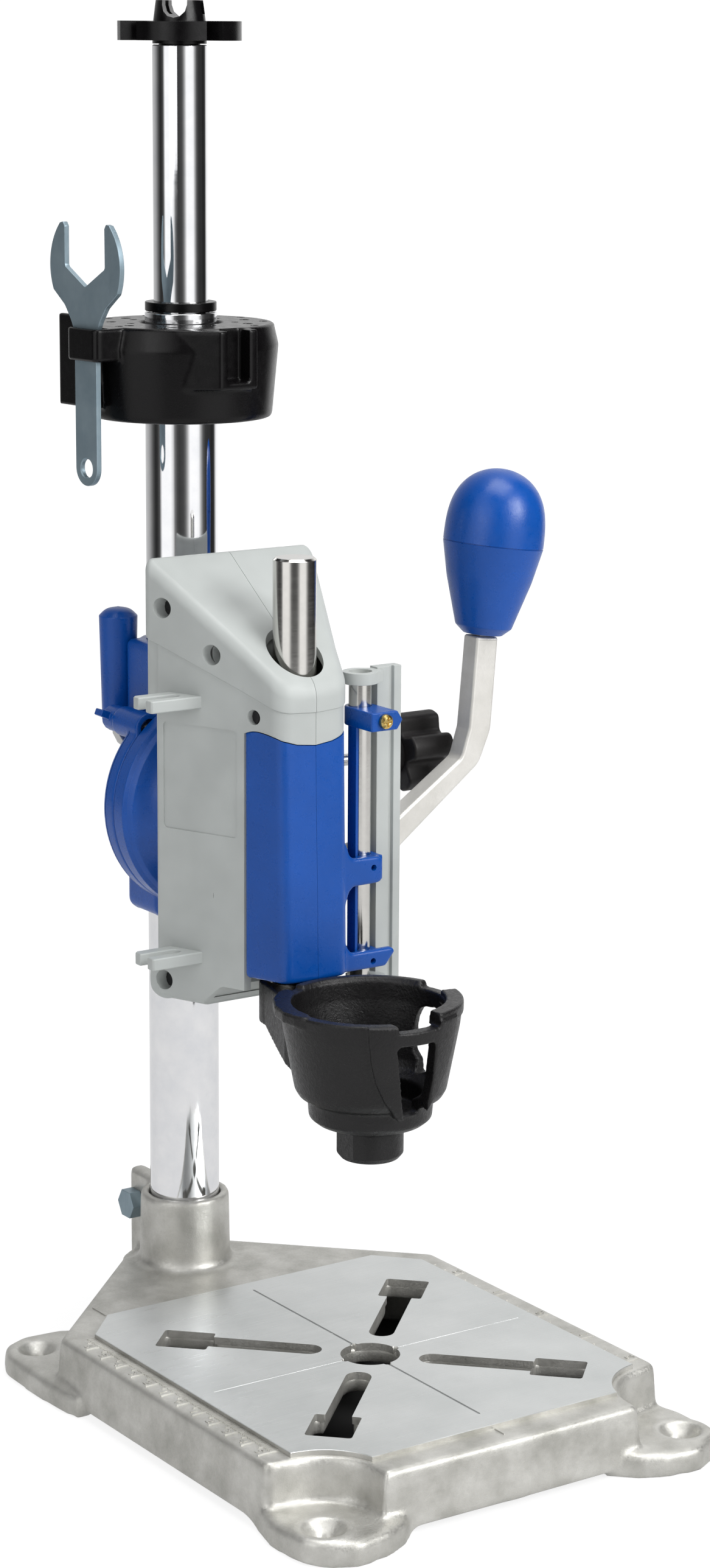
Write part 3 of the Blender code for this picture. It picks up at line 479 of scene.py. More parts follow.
def plastic(name, colour, grain, depth, low, high, specular):
    """Moulded plastic with a spark-eroded grain and faint cloudy colour."""
    shade = np.array(linear(*colour))
    f = Finish(name, shade, 0.0, low)
    f.shader.inputs["Specular IOR Level"].default_value = specular
    f.tint(f.ranged(f.noise(22.0, 2.0), 0.3, 0.7, 0, 1), shade * 0.93, np.minimum(shade * 1.06, 1))
    f.rough(f.noise(3.0, 4.0), low, high)
    f.bump(f.noise(grain, 3.0, 0.65), depth)
    return f.material


def grained(name, colour, metallic, roughness, cloud, gloss, *bumps):
    """Clouds of two colours, uneven gloss, and bumps, each of (size, detail, roughness, depth)."""
    f = Finish(name, linear(*colour), metallic, roughness)
    if cloud:
        f.clouded(*cloud)
    if gloss:
        size, detail, low, high = gloss
        f.rough(f.noise(size, detail), low, high)
    for size, detail, rough, depth in bumps:
        f.bump(f.noise(size, detail, rough), depth)
    return f


def brushed(name, colour, metallic, roughness, cloud, size, detail, stretch, turn, low, high, depth):
    """Metal with fine lines, which are both its uneven gloss and its bump."""
    f = Finish(name, linear(*colour), metallic, roughness)
    lines = f.noise(size, detail, 0.6, stretch=stretch, turn=(0, 0, math.radians(turn)))
    f.clouded(*cloud).rough(lines, low, high).bump(lines, depth)
    return f.material


def make_finishes():
    """Materials by short name; every colour is a screen colour, every size in millimetres."""
    cup = grained("black_cup_moulding", (18, 17, 18), 0.0, 0.4, (18.0, 3.0, (12, 11, 12), (19, 18, 19)),
                  (1.4, 4.0, 0.24, 0.44), (0.9, 4.0, 0.7, 0.2), (3.0, 2.0, 0.6, 0.12))
    cup.shader.inputs["Specular IOR Level"].default_value = 0.36
    chrome = Finish("chromed_steel", linear(236, 236, 238), 1.0, 0.05)
    film = chrome.noise(9.0, 4.0, 0.6)
    chrome.tint(chrome.ranged(film, 0.3, 0.7, 0, 1), linear(230, 231, 234), linear(241, 241, 242))
    chrome.rough(film, 0.03, 0.08)
    chrome.bump(chrome.noise(4.0, 2.0), 0.002)
    return {
        "blue": plastic("blue_moulding", (0, 68, 148), 0.8, 0.05, 0.24, 0.36, 0.4),
        "grey": plastic("grey_moulding", (166, 170, 168), 0.6, 0.015, 0.42, 0.52, 0.4),
        "matte": plastic("black_grip", (26, 24, 24), 0.6, 0.05, 0.45, 0.62, 0.3),
        "black": plastic("black_moulding", (9, 8, 9), 0.6, 0.02, 0.20, 0.30, 0.22),
        "cup": cup.material,
        "chrome": chrome.material,
        "cast": grained("cast_aluminium", (188, 188, 183), 0.75, 0.42,
                        (14.0, 4.0, (168, 167, 161), (204, 203, 198)), (0.7, 2.0, 0.34, 0.58),
                        (0.45, 3.0, 0.7, 0.05), (3.5, 3.0, 0.6, 0.09)).material,
        "lever": grained("bead_blasted_casting", (214, 212, 206), 0.55, 0.42,
                         (16.0, 4.0, (204, 202, 196), (222, 220, 215)), (0.8, 3.0, 0.34, 0.52),
                         (0.5, 3.0, 0.7, 0.03), (5.0, 3.0, 0.6, 0.05)).material,
        "steel": grained("bright_steel", (190, 190, 190), 1.0, 0.22, None, (1.2, 3.0, 0.16, 0.30),
                         (0.8, 3.0, 0.6, 0.004)).material,
        "brass": grained("brass", (205, 178, 110), 1.0, 0.26, None, None, (0.6, 2.0, 0.6, 0.006)).material,
        "dark": grained("blackened_steel", (34, 34, 36), 0.7, 0.5, None, (0.7, 3.0, 0.38, 0.6),
                        (0.6, 3.0, 0.6, 0.02)).material,
        "milled": brushed("milled_aluminium", (205, 208, 207), 0.85, 0.34,
                          (40.0, 3.0, (198, 201, 200), (214, 216, 215)), 0.35, 3.0, (0.018, 1.0, 1.0), -14,
                          0.26, 0.46, 0.012),
        "ground": brushed("ground_steel", (214, 212, 208), 1.0, 0.14,
                          (6.0, 3.0, (210, 208, 204), (218, 216, 212)), 0.5, 2.0, (0.04, 0.04, 1.0), 0, 0.13,
                          0.17, 0.0003),
        "zinc": brushed("zinc_plate", (130, 148, 157), 0.7, 0.4,
                        (12.0, 3.0, (128, 146, 156), (144, 161, 170)), 0.4, 3.0, (1.0, 1.0, 0.05), 0, 0.36,
                        0.48, 0.006),
    }


FINISH = {}


# add-on: sizes, one operator for each group of pieces, and a panel
class StandSizes(bpy.types.PropertyGroup):
    """Sizes that a user would change."""

    tube_steps: bpy.props.IntProperty(
        name="Tube steps", description="Facets round the chromed tubes", default=96, min=24, max=256)
    cast_voxel: bpy.props.FloatProperty(
        name="Casting grain", description="Voxel size of the cast table", default=1.1 * MM, unit="LENGTH",
        precision=5)
    plastic_voxel: bpy.props.FloatProperty(
        name="Moulding grain", description="Voxel size of the fused mouldings", default=0.6 * MM,
        unit="LENGTH", precision=5)
    cup_voxel: bpy.props.FloatProperty(
        name="Cup grain", description="Voxel size of the fused tool cup", default=0.5 * MM, unit="LENGTH",
        precision=5)
    floor_size: bpy.props.FloatProperty(
        name="Floor size", description="Width of the pale round floor", default=2.6, unit="LENGTH")


def sizes():
    """Values of the add-on's panel."""
    return bpy.context.scene.stand_sizes


class STAND_OT_column(bpy.types.Operator):
    """Build the chromed tubes, their ring and the hanger cap"""

    bl_idname = "stand.column"
    bl_label = "Column"

    def execute(self, context):
        steps = sizes().tube_steps
        for node, outer, inner, low, high in (("lower_tube", 12.7, 10.2, 4.3, 372.6),
                                              ("upper_tube", 9.525, 7.6, 200.0, 464.2)):
            profile = fillet([(inner, low), (outer, low), (outer, high), (inner, high)], 0.5, steps=3)
            tube = finished(turned(node + "_skin", profile, steps=steps, ring=True), "chrome", node)
            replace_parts(tube, node)
        ring = fillet([(9.6, 373.0), (12.6, 373.0), (12.6, 376.2), (9.6, 376.2)], 0.35, steps=4)
        ring = turned("ring_skin", ring, steps=steps, ring=True)
        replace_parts(finished(ring, "black", "tube_ring"), "tube_ring")
        dressed("hanger_cap", "black", 0.5, 2)
        dressed("collar_bolt", "zinc", 0.25, 2)
        return {"FINISHED"}


class STAND_OT_table(bpy.types.Operator):
    """Build the cast table with its milled top, slots and rulers"""

    bl_idname = "stand.table"
    bl_label = "Table"

    # places of the lugs about the middle hole, heights, and half the plate's width
    LUG_X, FRONT_Y, BACK_Y = 72.1, -80.2, 105.6
    LEDGE, TOP = 23.2, 25.0
    PLATE_X = 69.8
    INCH = 25.4

    def execute(self, context):
        self.casting()
        self.plate()
        self.rulers()
        return {"FINISHED"}

    @staticmethod
    def place(line):
        """Outline about the table's middle hole, moved to the column's frame."""
        return np.asarray(line, float) + TABLE

    def slots(self, grow, low, high):
        """Four T slots on the diagonals: a narrow leg with a round end and a wide head."""
        head = [(56.2, -4.5), (56.2, -7.9), (74.3, -7.9), (74.3, 7.9), (56.2, 7.9), (56.2, 4.5)]
        leg = np.vstack([arc(21.5, 0, 4.5, 90, 270, 10), head])
        radii = np.array([0.0] * 11 + [0.4, 1.0, 1.2, 1.2, 1.0, 0.4])
        leg = inset(fillet(leg, radii, steps=4), -grow)
        return [slab("slot", self.place(spun(leg, a)), low, high, SHARP) for a in (45, 135, 225, 315)]

    def casting(self):
        """Table body with four screw lugs, an open underside, and the column's split collar and ear."""
        corner = arc(self.LUG_X, self.FRONT_Y, 21.0, 190, 101, 12)
        half = np.vstack([[(0, -84.6)], corner, [(79.7, -57.5), (79.7, 75.3), (19.5, 135.0)],
                          arc(0, 122, 19.0, 38, 90, 6)[:-1], [(0, 141.0)]])
        radii = np.array([0.0, 3.0] + [0.0] * 11 + [3.0, 3.0, 3.0] + [0.0] * 7)
        body_line = self.place(mirrored(half))
        full = np.concatenate([radii, radii[::-1]])[:len(body_line)]
        body_line = fillet(body_line, full, steps=4)
        rows = [(2.3, -0.2), (3.0, -1.3), (4.0, -1.4), (19.0, -0.2), (21.3, 0.0), (22.6, 0.4), (23.2, 1.1),
                (23.4, 2.4)]
        body = walled("table_cast", body_line, rows)
        lug = fillet([(37.5, -80.8), (47, -90.0), (55.6, -94.0), (68.7, -96.0), (79.0, -90.5), (84.0, -79),
                      (84.2, -66), (81.8, -56), (78.5, -46), (56, -48), (40, -66)],
                     (3, 7, 5, 9, 9, 9, 7, 6, 1, 1, 1), steps=5)
        back = fillet([(75.5, 58), (82.9, 56.8), (84.8, 66), (85.4, 84), (84.8, 106), (80.5, 115),
                       (71, 119.4), (56, 118.4), (38, 108), (34, 98), (60, 60)],
                       (1, 2, 4, 6, 8, 7, 6, 8, 6, 1, 1), steps=5)
        rows = [(0, 0.5), (0.5, 0), (6.2, 0.5), (7.3, 0.9), (8.0, 1.7), (8.4, 3.0)]
        for line in (lug, back):
            for side in (1, -1):
                foot = line * (side, 1)
                fused(body, walled("lug", self.place(foot[::side]), rows))
        boss = [(0, 0.4), (11.5, 0.4), (11.5, 8.3), (9.6, 8.9), (0, 8.9)]
        for x in (-self.LUG_X, self.LUG_X):
            fused(body, turned("boss", boss, (x, self.FRONT_Y + TABLE_Y), steps=40))
        collar = [(0, 0.3), (23.5, 0.3), (23.5, 22.6), (20.6, 22.8), (18.5, 23.5), (17.2, 24.8), (16.7, 26.8),
                  (16.3, 48.6), (15.9, 49.7), (15.0, 50.2), (0, 50.2)]
        fused(body, turned("collar", collar, steps=56))
        ear = fillet([(-7.7, 6), (7.7, 6), (7.7, 28.2), (-7.7, 28.2)], (0.1, 0.1, 2.5, 2.5))
        fused(body, slab("ear", ear, 0.4, 52.4, 1.6))
        inner = fillet(mirrored([(0, -80.4), (50, -80.4), (54, -65), (64, -55.5), (74.8, -54), (74.8, 59),
                                 (50.5, 87), (22, 96.5), (0, 96.5)]), 4.0)
        cuts = [walled("hollow", self.place(inner), [(-2, -0.6), (14.0, 0.2), (16.4, 1.2), (17.6, 3.4)])]
        cuts += self.slots(0.2, -2, 30)
        cuts.append(rod("hole", 10.5, -2, 30, TABLE))
        cuts.append(rod("socket", 13.2, 3, 60))
        cuts.append(slab("split", [(-1.2, 5), (1.2, 5), (1.2, 40), (-1.2, 40)], 20, 60, SHARP))
        sink = [(0, -2), (3.1, -2), (3.1, 4.0), (7.4, 8.2), (7.4, 12), (0, 12)]
        for x in (-self.LUG_X, self.LUG_X):
            for y in (self.FRONT_Y, self.BACK_Y):
                cuts.append(turned("sink", sink, (x, y + TABLE_Y), steps=32))
        combine(body, *cuts)
        cast_over(body, sizes().cast_voxel / MM, 5, 0.6)
        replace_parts(finished(body, "cast", "base_casting", 80), "base_casting")

    def plate(self):
        """Milled top with slots, a middle hole and scribed lines; its steep faces show the casting."""
        edge = arc(self.LUG_X, self.FRONT_Y, 23.4, 164, 96, 12)
        half = np.vstack([[(0, -73.5)], edge, [(self.PLATE_X, -56.8), (self.PLATE_X, 68.0), (56.5, 82.2),
                                               (0, 82.2)]])
        plate = slab("table_plate", self.place(mirrored(half)), 22.4, self.TOP, 0.3, edge_high=0.35)
        combine(plate, *self.slots(-0.05, 20, 30))
        combine(plate, rod("hole", 10.28, 20, 30, TABLE, steps=72))
        notch = [(0, 20), (1.0, 20), (1.0, 24.2), (1.5, 25.4), (0, 25.4)]
        # width and depth of the scribed lines
        thin, wide = (0.45, 0.22), (0.85, 0.6)
        for k, (reach, (width, depth)) in enumerate(((63.4, thin), (75.3, wide), (63.4, thin), (64.3, wide))):
            side, tip = width / 2, reach - width
            groove = spun([(9, -side), (tip, -side), (reach, 0), (tip, side), (9, side)], 90 * k)
            rows = [(self.TOP - depth, width * 0.42), (self.TOP, 0), (self.TOP + 1, -0.3)]
            combine(plate, walled("scribe", self.place(groove), rows))
            x, y = spun([(10.3, 0)], 90 * k)[0]
            combine(plate, turned("notch", notch, (x, y + TABLE_Y), steps=20))
        bevelled(plate, 0.22, 2, 40)
        finished(plate, "milled", "base_casting", 30)
        plate.data.materials.append(FINISH["cast"])
        normals = np.empty(len(plate.data.polygons) * 3)
        plate.data.polygons.foreach_get("normal", normals)
        steep = np.abs(normals.reshape(-1, 3)[:, 2]) < 0.5
        plate.data.polygons.foreach_set("material_index", steep.astype(np.int32))

    def rulers(self):
        """Millimetre marks on the left ledge and inch marks on the right one, raised from the casting."""
        inner, outer = self.PLATE_X - 0.1, self.PLATE_X + 0.1
        y = np.arange(-50, 69)
        long = np.select([y % 10 == 0, y % 5 == 0], [8.0, 4.6], 3.0)
        y = y + TABLE_Y
        left = np.stack([-outer - long, y - 0.24, np.full(len(y), -inner), y + 0.24], 1)
        quarter = np.arange(-8, 11)
        reach = np.where(quarter % 4 == 0, 7.2, 3.0)
        y = quarter / 4 * self.INCH + TABLE_Y
        right = np.stack([np.full(len(y), inner), y - 0.25, outer + reach, y + 0.25], 1)
        extra = [(-55.9, 84.6 + TABLE_Y, -55.4, 94.1 + TABLE_Y),
                 (-1.7, -79.5 + TABLE_Y, -1.2, -74.2 + TABLE_Y)]
        marks = bars("ruler_marks", np.vstack([left, right, extra]), 0.6, self.LEDGE)
        sides = ((range(-5, 7), 4.2, -75.6, 10, 2.6, -90), (range(-2, 3), 4.8, 75.4, self.INCH, 3.0, 90))
        digits = [words("figure", str(abs(k)), size, (x, step * k + shift + TABLE_Y, self.LEDGE + 0.2), turn,
                        0.5)
                  for counts, size, x, step, shift, turn in sides for k in counts]
        finished(merged(marks, *digits), "cast", "base_casting", 30)


class STAND_OT_tray(bpy.types.Operator):
    """Build the bit tray and the wrench in its loop"""

    bl_idname = "stand.tray"
    bl_label = "Bit tray and wrench"

    # the tray is swivelled a little on the column in the photograph
    TURN = Matrix.Rotation(math.radians(6.0), 4, "Z")

    def execute(self, context):
        self.tray()
        self.wrench()
        return {"FINISHED"}

    def tray(self):
        """Turned tray with a flaring wall, a framed pocket, and a fin and loop for the wrench."""
        wall = fillet([(13.0, 336.2), (31.4, 336.2), (32.1, 337.4), (34.3, 361.4), (32.6, 369), (14.4, 369),
                       (14.4, 343), (13.0, 343)], (0.3, 0.5, 1.5, 1.6, 0.8, 0.5, 0.5, 0.3), steps=4)
        tray = turned("tool_tray_skin", wall, steps=160, ring=True)
        ramp = [(-10.8, -36.9), (5.4, -36.9), (5.4, -24), (-22.1, -24)]
        adds = [slab("frame", fillet(ramp, (1.0, 0.6, 0, 0)), 348.2, 368.6, 0.5),
                block("fin", (-36.6, -34), (0.5, 22.6), (340.7, 372.4)),
                block("web", (-35, -24), (1.5, 12), (340.7, 368.2))]
        loop = fillet([(-43.2, -8.8), (-31, -8.8), (-31, 8.9), (-43.2, 8.9)], (2.2, 0.3, 0.3, 2.2))
        gap = fillet([(-41.6, -7.2), (-37.0, -7.2), (-37.0, 7.3), (-41.6, 7.3)], (1.0, 0.3, 0.3, 1.0))
        adds.append(slab("loop", loop, 357.6, 368.9, 0.5))
        fused(tray, *adds)
        pocket = fillet([(-7.8, -40), (1.8, -40), (1.8, -31.4), (-7.8, -31.4)], (0, 0, 0.5, 0.5))
        combine(tray, slab("gap", gap, 350, 375, SHARP), slab("pocket", pocket, 350.8, 375, SHARP))
        cast_over(tray, sizes().plastic_voxel / MM, 3, 0.4)
        for count, ring, r, shift in ((7, 19.0, 1.1, 0.2), (9, 24.4, 1.6, 0.45), (10, 29.2, 1.3, 0.1)):
            for k in range(count):
                t = shift + 2 * math.pi * k / count
                x, y = ring * math.cos(t), ring * math.sin(t)
                if y < -24 and abs(x) < 9:
                    continue
                hole = [(0, 359), (r, 359), (r, 368.5), (r + 0.35, 369.2), (r + 0.35, 375), (0, 375)]
                combine(tray, turned("bit_hole", hole, (x, y), steps=20))
        combine(tray, rod("pocket_hole", 1.3, -34, -29, (-4.9, 354.4), "Y", 20))
        tray.data.transform(self.TURN)
        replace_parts(finished(tray, "black", "tool_tray", 50), "tool_tray")

    def wrench(self):
        """Flat open wrench: a round head with straight jaws, a neck, and a rounded foot with a hole."""
        half = [(-14.4, 404.1)] + arc(0, 389.6, 20.4, 141, 205, 24).tolist()
        half += [(-11.9, 376.0), (-8.4, 371.2), (-6.3, 367.0)]
        soft = [0.6] + [0] * 25 + [6, 6, 12]
        other = [(-x, z) for x, z in reversed(half)]
        foot = arc(0, 320.4, 6.2, 180, 360, 24).tolist()
        jaw = [(12.5, 404.5), (11.5, 403.0), (11.6, 389.4), (0, 382.7), (-11.6, 389.4), (-11.5, 403.0),
               (-12.5, 404.5)]
        line = fillet(foot + other + jaw + half, [0] * 25 + soft[::-1] + [0.6, 0.6, 1.5, 1.2, 1.5, 0.6,
                                                                          0.6] + soft)
        wrench = slab("wrench_skin", line + (0.6, 0), -40.9, -38.9, 0.2, "X", 3)
        hole = [(0, -45), (3.7, -45), (3.7, -40.9), (3.3, -40.5), (3.3, -39.3), (3.7, -38.9), (3.7, -35),
                (0, -35)]
        combine(wrench, turned("hole", hole, (0.6, 320.3), "X", 48))
        wrench.data.transform(self.TURN)
        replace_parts(finished(wrench, "zinc", "wrench", 30), "wrench")


class STAND_OT_bracket(bpy.types.Operator):
    """Build the column bracket, its clamp handle and the index pin"""

    bl_idname = "stand.bracket"
    bl_label = "Column bracket"

    def execute(self, context):
        self.body()
        self.grip()
        dressed("clamp_rod", "steel", 0.2, 2)
        dressed("clamp_nut", "zinc", 0.3, 2)
        dressed("index_pin", "steel", 0.1, 1)
        dressed("index_cap", "blue", 0.4, 2)
        dressed("index_spring", "steel", 0.0)
        return {"FINISHED"}

    @staticmethod
    def body():
        """Split sleeve, the fixed disc, ears for the clamp and a boss for the index pin."""
        line = fillet([(-17.3, -10.5), (17.3, -10.5), (17.3, 8.4), (12.2, 10.4), (7, 15.4), (-8, 15.4),
                       (-12.4, 11.2), (-17.3, 10.7)], (2.0, 2.0, 2.5, 2.0, 3.0, 3.0, 1.5, 2.0), steps=5)
        body = slab("column_bracket_skin", line, 157.3, 256.4, 4.2, "Z", 6, edge_high=2.2)
        rim = fillet([(0, -17.2), (39.2, -17.2), (39.2, -9.7), (0, -9.7)], (0, 0.5, 1.6, 0), steps=4)
        ears = fillet([(12, 206), (22.6, 206), (24, 208), (24, 224), (22.6, 226), (12, 226)],
                      (0, 1, 1, 1, 1, 0))
        adds = [turned("disc", rim, TILT, "Y", 160), slab("ears", ears, -9.6, 9.6, 0.8, "X"),
                turned("pin_boss", [(0, -17.0), (5.4, -17.0), (5.4, 0.4), (4.8, 1.0), (0, 1.0)],
                       (-24.0, 228.8), "Y", 40)]
        fused(body, *adds)
        cast_over(body, sizes().plastic_voxel / MM, 4, 0.5)
        cuts = [rod("bore", 12.85, 140, 270, steps=96),
                block("split", (-1.1, 1.1), (5, 40), (140, 270)),
                rod("screw_way", 3.1, -20, 20, (18.5, 216.0), "X", 32),
                rod("pivot_way", 4.3, -20, -9, TILT, "Y", 40),
                turned("pin_way", [(0, -20), (3.6, -20), (3.6, -0.6), (2.3, -0.6), (2.3, 5), (0, 5)],
                       (-24.0, 228.8), "Y", 32)]
        groove = [(38.6, -11.7), (39.9, -11.7), (39.9, -12.1), (38.6, -12.1)]
        cuts.append(turned("groove", groove, TILT, "Y", 160, ring=True))
        combine(body, *cuts)
        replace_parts(finished(body, "blue", "column_bracket", 50), "column_bracket")

    @staticmethod
    def grip():
        """Slightly flared round grip with a domed end and a bore for the bent rod."""
        line = fillet([(0, 223.6), (6.0, 223.6), (6.95, 263.6), (4.6, 266.0), (0, 266.9)],
                      (0, 1.4, 0.5, 6.0, 0), steps=6)
        grip = turned("clamp_grip_skin", line, (-15.9, 18), steps=72)
        combine(grip, rod("way", 2.9, 218, 242, (-15.9, 18), steps=32))
        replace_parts(finished(grip, "blue", "clamp_grip", 35), "clamp_grip")


class STAND_OT_tilt(bpy.types.Operator):
    """Build the tilting disc, its pivot and the black lock knob"""

    bl_idname = "stand.tilt"
    bl_label = "Tilt disc and lock"

    def execute(self, context):
        self.disc()
        dressed("pivot_bolt", "steel", 0.2, 1)
        dressed("lock_screw", "steel", 0.2, 1)
        self.star()
        return {"FINISHED"}

    @staticmethod
    def disc():
        """Turned disc: a rim, a sloping shoulder, and a dished cone with r = 29 + 7.4 (1 - s)^1.8."""
        s = np.linspace(0, 1, 14)
        cone = np.stack([29.0 + 7.4 * (1 - s) ** 1.8, -26.6 - 7.1 * s ** 1.1], 1)
        rim = fillet([(4.3, -17.5), (39.2, -17.5), (39.2, -23.4), (37.9, -24.6), (36.9, -26.3)],
                     (0, 0.5, 0.7, 0.8, 0.2), closed=False)
        line = np.vstack([rim, cone, [(9.5, -33.7), (9.5, -27), (4.3, -27)]])
        disc = turned("tilt_disc_skin", line, TILT, "Y", 160, ring=True)
        boss = fillet([(0, 24), (5.9, 24), (5.9, 36), (0, 36)], (0, 0, 0.8, 0))
        fused(disc, turned("boss", boss, LOCK, "X", 40))
        combine(disc, rod("way", 2.5, 12, 60, LOCK, "X", 24))
        for k in range(7):
            x, z = spun([(-24.0, 28.1)], 15 * k)[0]
            combine(disc, rod("index_hole", 1.55, -22.0, -16, (x, z + TILT_Z), "Y", 20))
        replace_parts(finished(disc, "blue", "tilt_disc", 30), "tilt_disc")

    @staticmethod
    def star():
        """Five broad lobes with blunt tips, drawn in at both ends, on a round hub."""
        corners, radii = [], []
        for k in range(5):
            for turn, r, soft in ((-36, 8.4, 2.0), (-17, 14.3, 2.4), (0, 15.0, 6.0), (17, 14.3, 2.4)):
                t = math.radians(90 + 72 * k + turn)
                corners.append((LOCK_Y + r * math.cos(t), LOCK_Z + r * math.sin(t)))
                radii.append(soft)
        knob = slab("lock_knob_skin", fillet(corners, radii, steps=6), 73.0, 91.0, 1.0, "X", 4, edge_high=1.5)
        hub = fillet([(0, 66), (7.5, 66), (7.5, 75), (0, 75)], (0, 0.8, 0, 0))
        fused(knob, turned("hub", hub, LOCK, "X", 48))
        combine(knob, rod("way", 2.5, 60, 76, LOCK, "X", 32))
        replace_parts(finished(knob, "matte", "lock_knob", 40), "lock_knob")


# outline of the housing's mouth, right half: across and up
MOUTH = [(0, 120), (18.9, 120), (19.6, 231.5), (18.7, 235.6), (16.9, 237.2), (14.9, 236.3), (12.4, 234.7),
         (7.1, 233.1), (0, 232.4)]


class STAND_OT_housing(bpy.types.Operator):
    """Build the two halves of the grey housing and their screws"""

    bl_idname = "stand.housing"
    bl_label = "Housing"

    # y and z of each screw, radius of its bore, x of the bore's floor, and x where the thread ends
    SCREWS = ((-39.0, 275.5, 3.5, -27.0, 27.0), (-58.4, 261.3, 3.5, -17.0, 17.0),
              (-74.5, 241.6, 2.6, -14.2, -11.0), (-38.6, 143.6, 3.5, -27.0, 27.0))
    # directions along the slanted left face, to the back, and square to it, into the housing
    ALONG, INTO = np.array([-0.375, 0.927]), np.array([0.927, 0.375])

    @staticmethod
    def roof(y):
        """Height of the sloping roof."""
        return 254.0 + 0.705 * (y + 85.2)

    @staticmethod
    def crease(y):
        """Height of the crease below the hood."""
        return 243.9 + 0.38 * (y + 86.4)

    def shell(self):
        """Lower wall with a soft foot, a rear part that steps out, and the hood above the crease."""
        lower = [(0, -34.0), (34.1, -34.0), (19.0, -70.7), (13.7, -85.9), (0, -87.3)]
        line = fillet(mirrored(lower), [0, 2.6, 22, 7.5, 0, 7.5, 22, 2.6], steps=10)
        flat = [(level(z), d) for z, d in ((136.6, 3.4), (136.85, 2.3), (137.5, 1.4), (138.4, 0.8),
                                           (139.6, 0.5), (170.0, 0.5), (205.0, 0.5))]
        walls = raised("housing", line, flat + [(lambda y: self.crease(y) + 0.2, 0.5)])
        upper = [(0, -29.4), (35.7, -29.4), (19.0, -70.7), (13.7, -85.9), (0, -87.3)]
        upper = fillet(mirrored(upper), [0, 3.4, 22, 7.5, 0, 7.5, 22, 3.4], steps=10)
        step = [(lambda y, e=e: self.crease(y) + e, d) for e, d in
                ((-0.35, 0.62), (-0.3, 0.5), (-0.1, 0.34), (0.1, 0.1), (0.35, 0.0), (2.5, 0.0))]
        edge = [(lambda y, t=t: self.roof(y) - 4.6 * (1 - math.sin(t)), 3.2 * (1 - math.cos(t)))
                for t in np.linspace(0, math.pi / 2, 9)]
        rear = fillet(mirrored([(0, -29.4), (35.7, -29.4), (28.8, -45.5), (0, -45.5)]),
                      [0, 3.4, 0.1, 0, 0.1, 3.4], steps=8)
        behind = [(level(z), d) for z, d in ((242.2, 1.6), (242.5, 0.9), (243.2, 0.54))]
        behind.append((lambda y: self.crease(y) + 0.15, 0.54))
        lobe = raised("lobe", rear, [(level(130.0), 0.54), (level(152.0), 0.54)])
        combine(lobe, rod("lobe_round", 6.6, -40, 40, (-38.6, 143.4), "X", 48), operation="INTERSECT")
        fused(walls, raised("hood", upper, step + edge), raised("rear", rear, behind), lobe)
        return walls, line

    def execute(self, context):
        whole, line = self.shell()
        wall = 3.1
        hollow = [(level(139.6), wall), (lambda y: self.roof(y) - 3.2, wall)]
        cuts = [raised("hollow", line, hollow)]
        under = fillet([(-95, 130), (-95, 145), (-61.5, 145), (-53, 137), (-53, 130)], (0, 0, 2.5, 2.5, 0))
        cuts.append(slab("under", under, -40, 40, SHARP, "X", 1))
        mouth = fillet(mirrored(MOUTH), 3.0, steps=5)
        cuts.append(slab("mouth", mouth, -95, -70.5, SHARP, "Y", 1))
        cuts.append(rod("quill_way", 9.9, 240, 300, QUILL))
        combine(whole, *cuts)
        floor = [(-62.4, 145.0), (-61.0, 145.0), (-52.6, 137.1), (-52.6, 139.7), (-61.5, 147.6),
                 (-62.4, 147.6)]
        adds = [slab("floor", floor, -21.8, 21.8, SHARP, "X", 1)]
        adds.append(slab("bush_seat", arc(0, QUILL_Y, 13.2, -90, 270, 40)[:-1], 236.8, 245.8, SHARP, "Z", 1))
        boss_wall = 1.4
        for y, z, r, low, high in self.SCREWS:
            # a boss ends inside the slanted side wall at its front edge, and at the seam or its thread's end
            reach = 19.0 + 0.404 * (y - r - boss_wall + 70.7) - 0.9
            for side in (-1, 1) if high > 0 else (-1,):
                lo, hi = sorted((side * 0.3 if high > 0 else -10.9, side * reach))
                adds.append(rod("boss", r + boss_wall, lo, hi, (y, z), "X", 28))
        fused(whole, *adds)
        combine(whole, rod("bush_way", 10.65, 230, 250, QUILL))
        for y, z, r, low, high in self.SCREWS:
            end = min(high, 10)
            profile = [(0, -45), (r + 0.25, -45), (r, low - 2.0), (r, low), (1.8, low), (1.8, end), (0, 10)]
            combine(whole, turned("bore", profile, (y, z), "X", 32))
        right = parted(whole, "housing_right_skin", 0.07)
        self.left_side(whole)
        self.right_side(right)
        for obj, node in ((whole, "housing_left"), (right, "housing_right")):
            bevelled(obj, 0.35, 2, 42)
            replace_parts(finished(obj, "grey", node, 40), node)
        for k in range(1, 5):
            dressed("housing_screw_%d" % k, "dark", 0.2, 1)
        dressed("quill_bush_top", "brass", 0.2, 1)
        dressed("quill_bush_low", "brass", 0.2, 1)
        return {"FINISHED"}

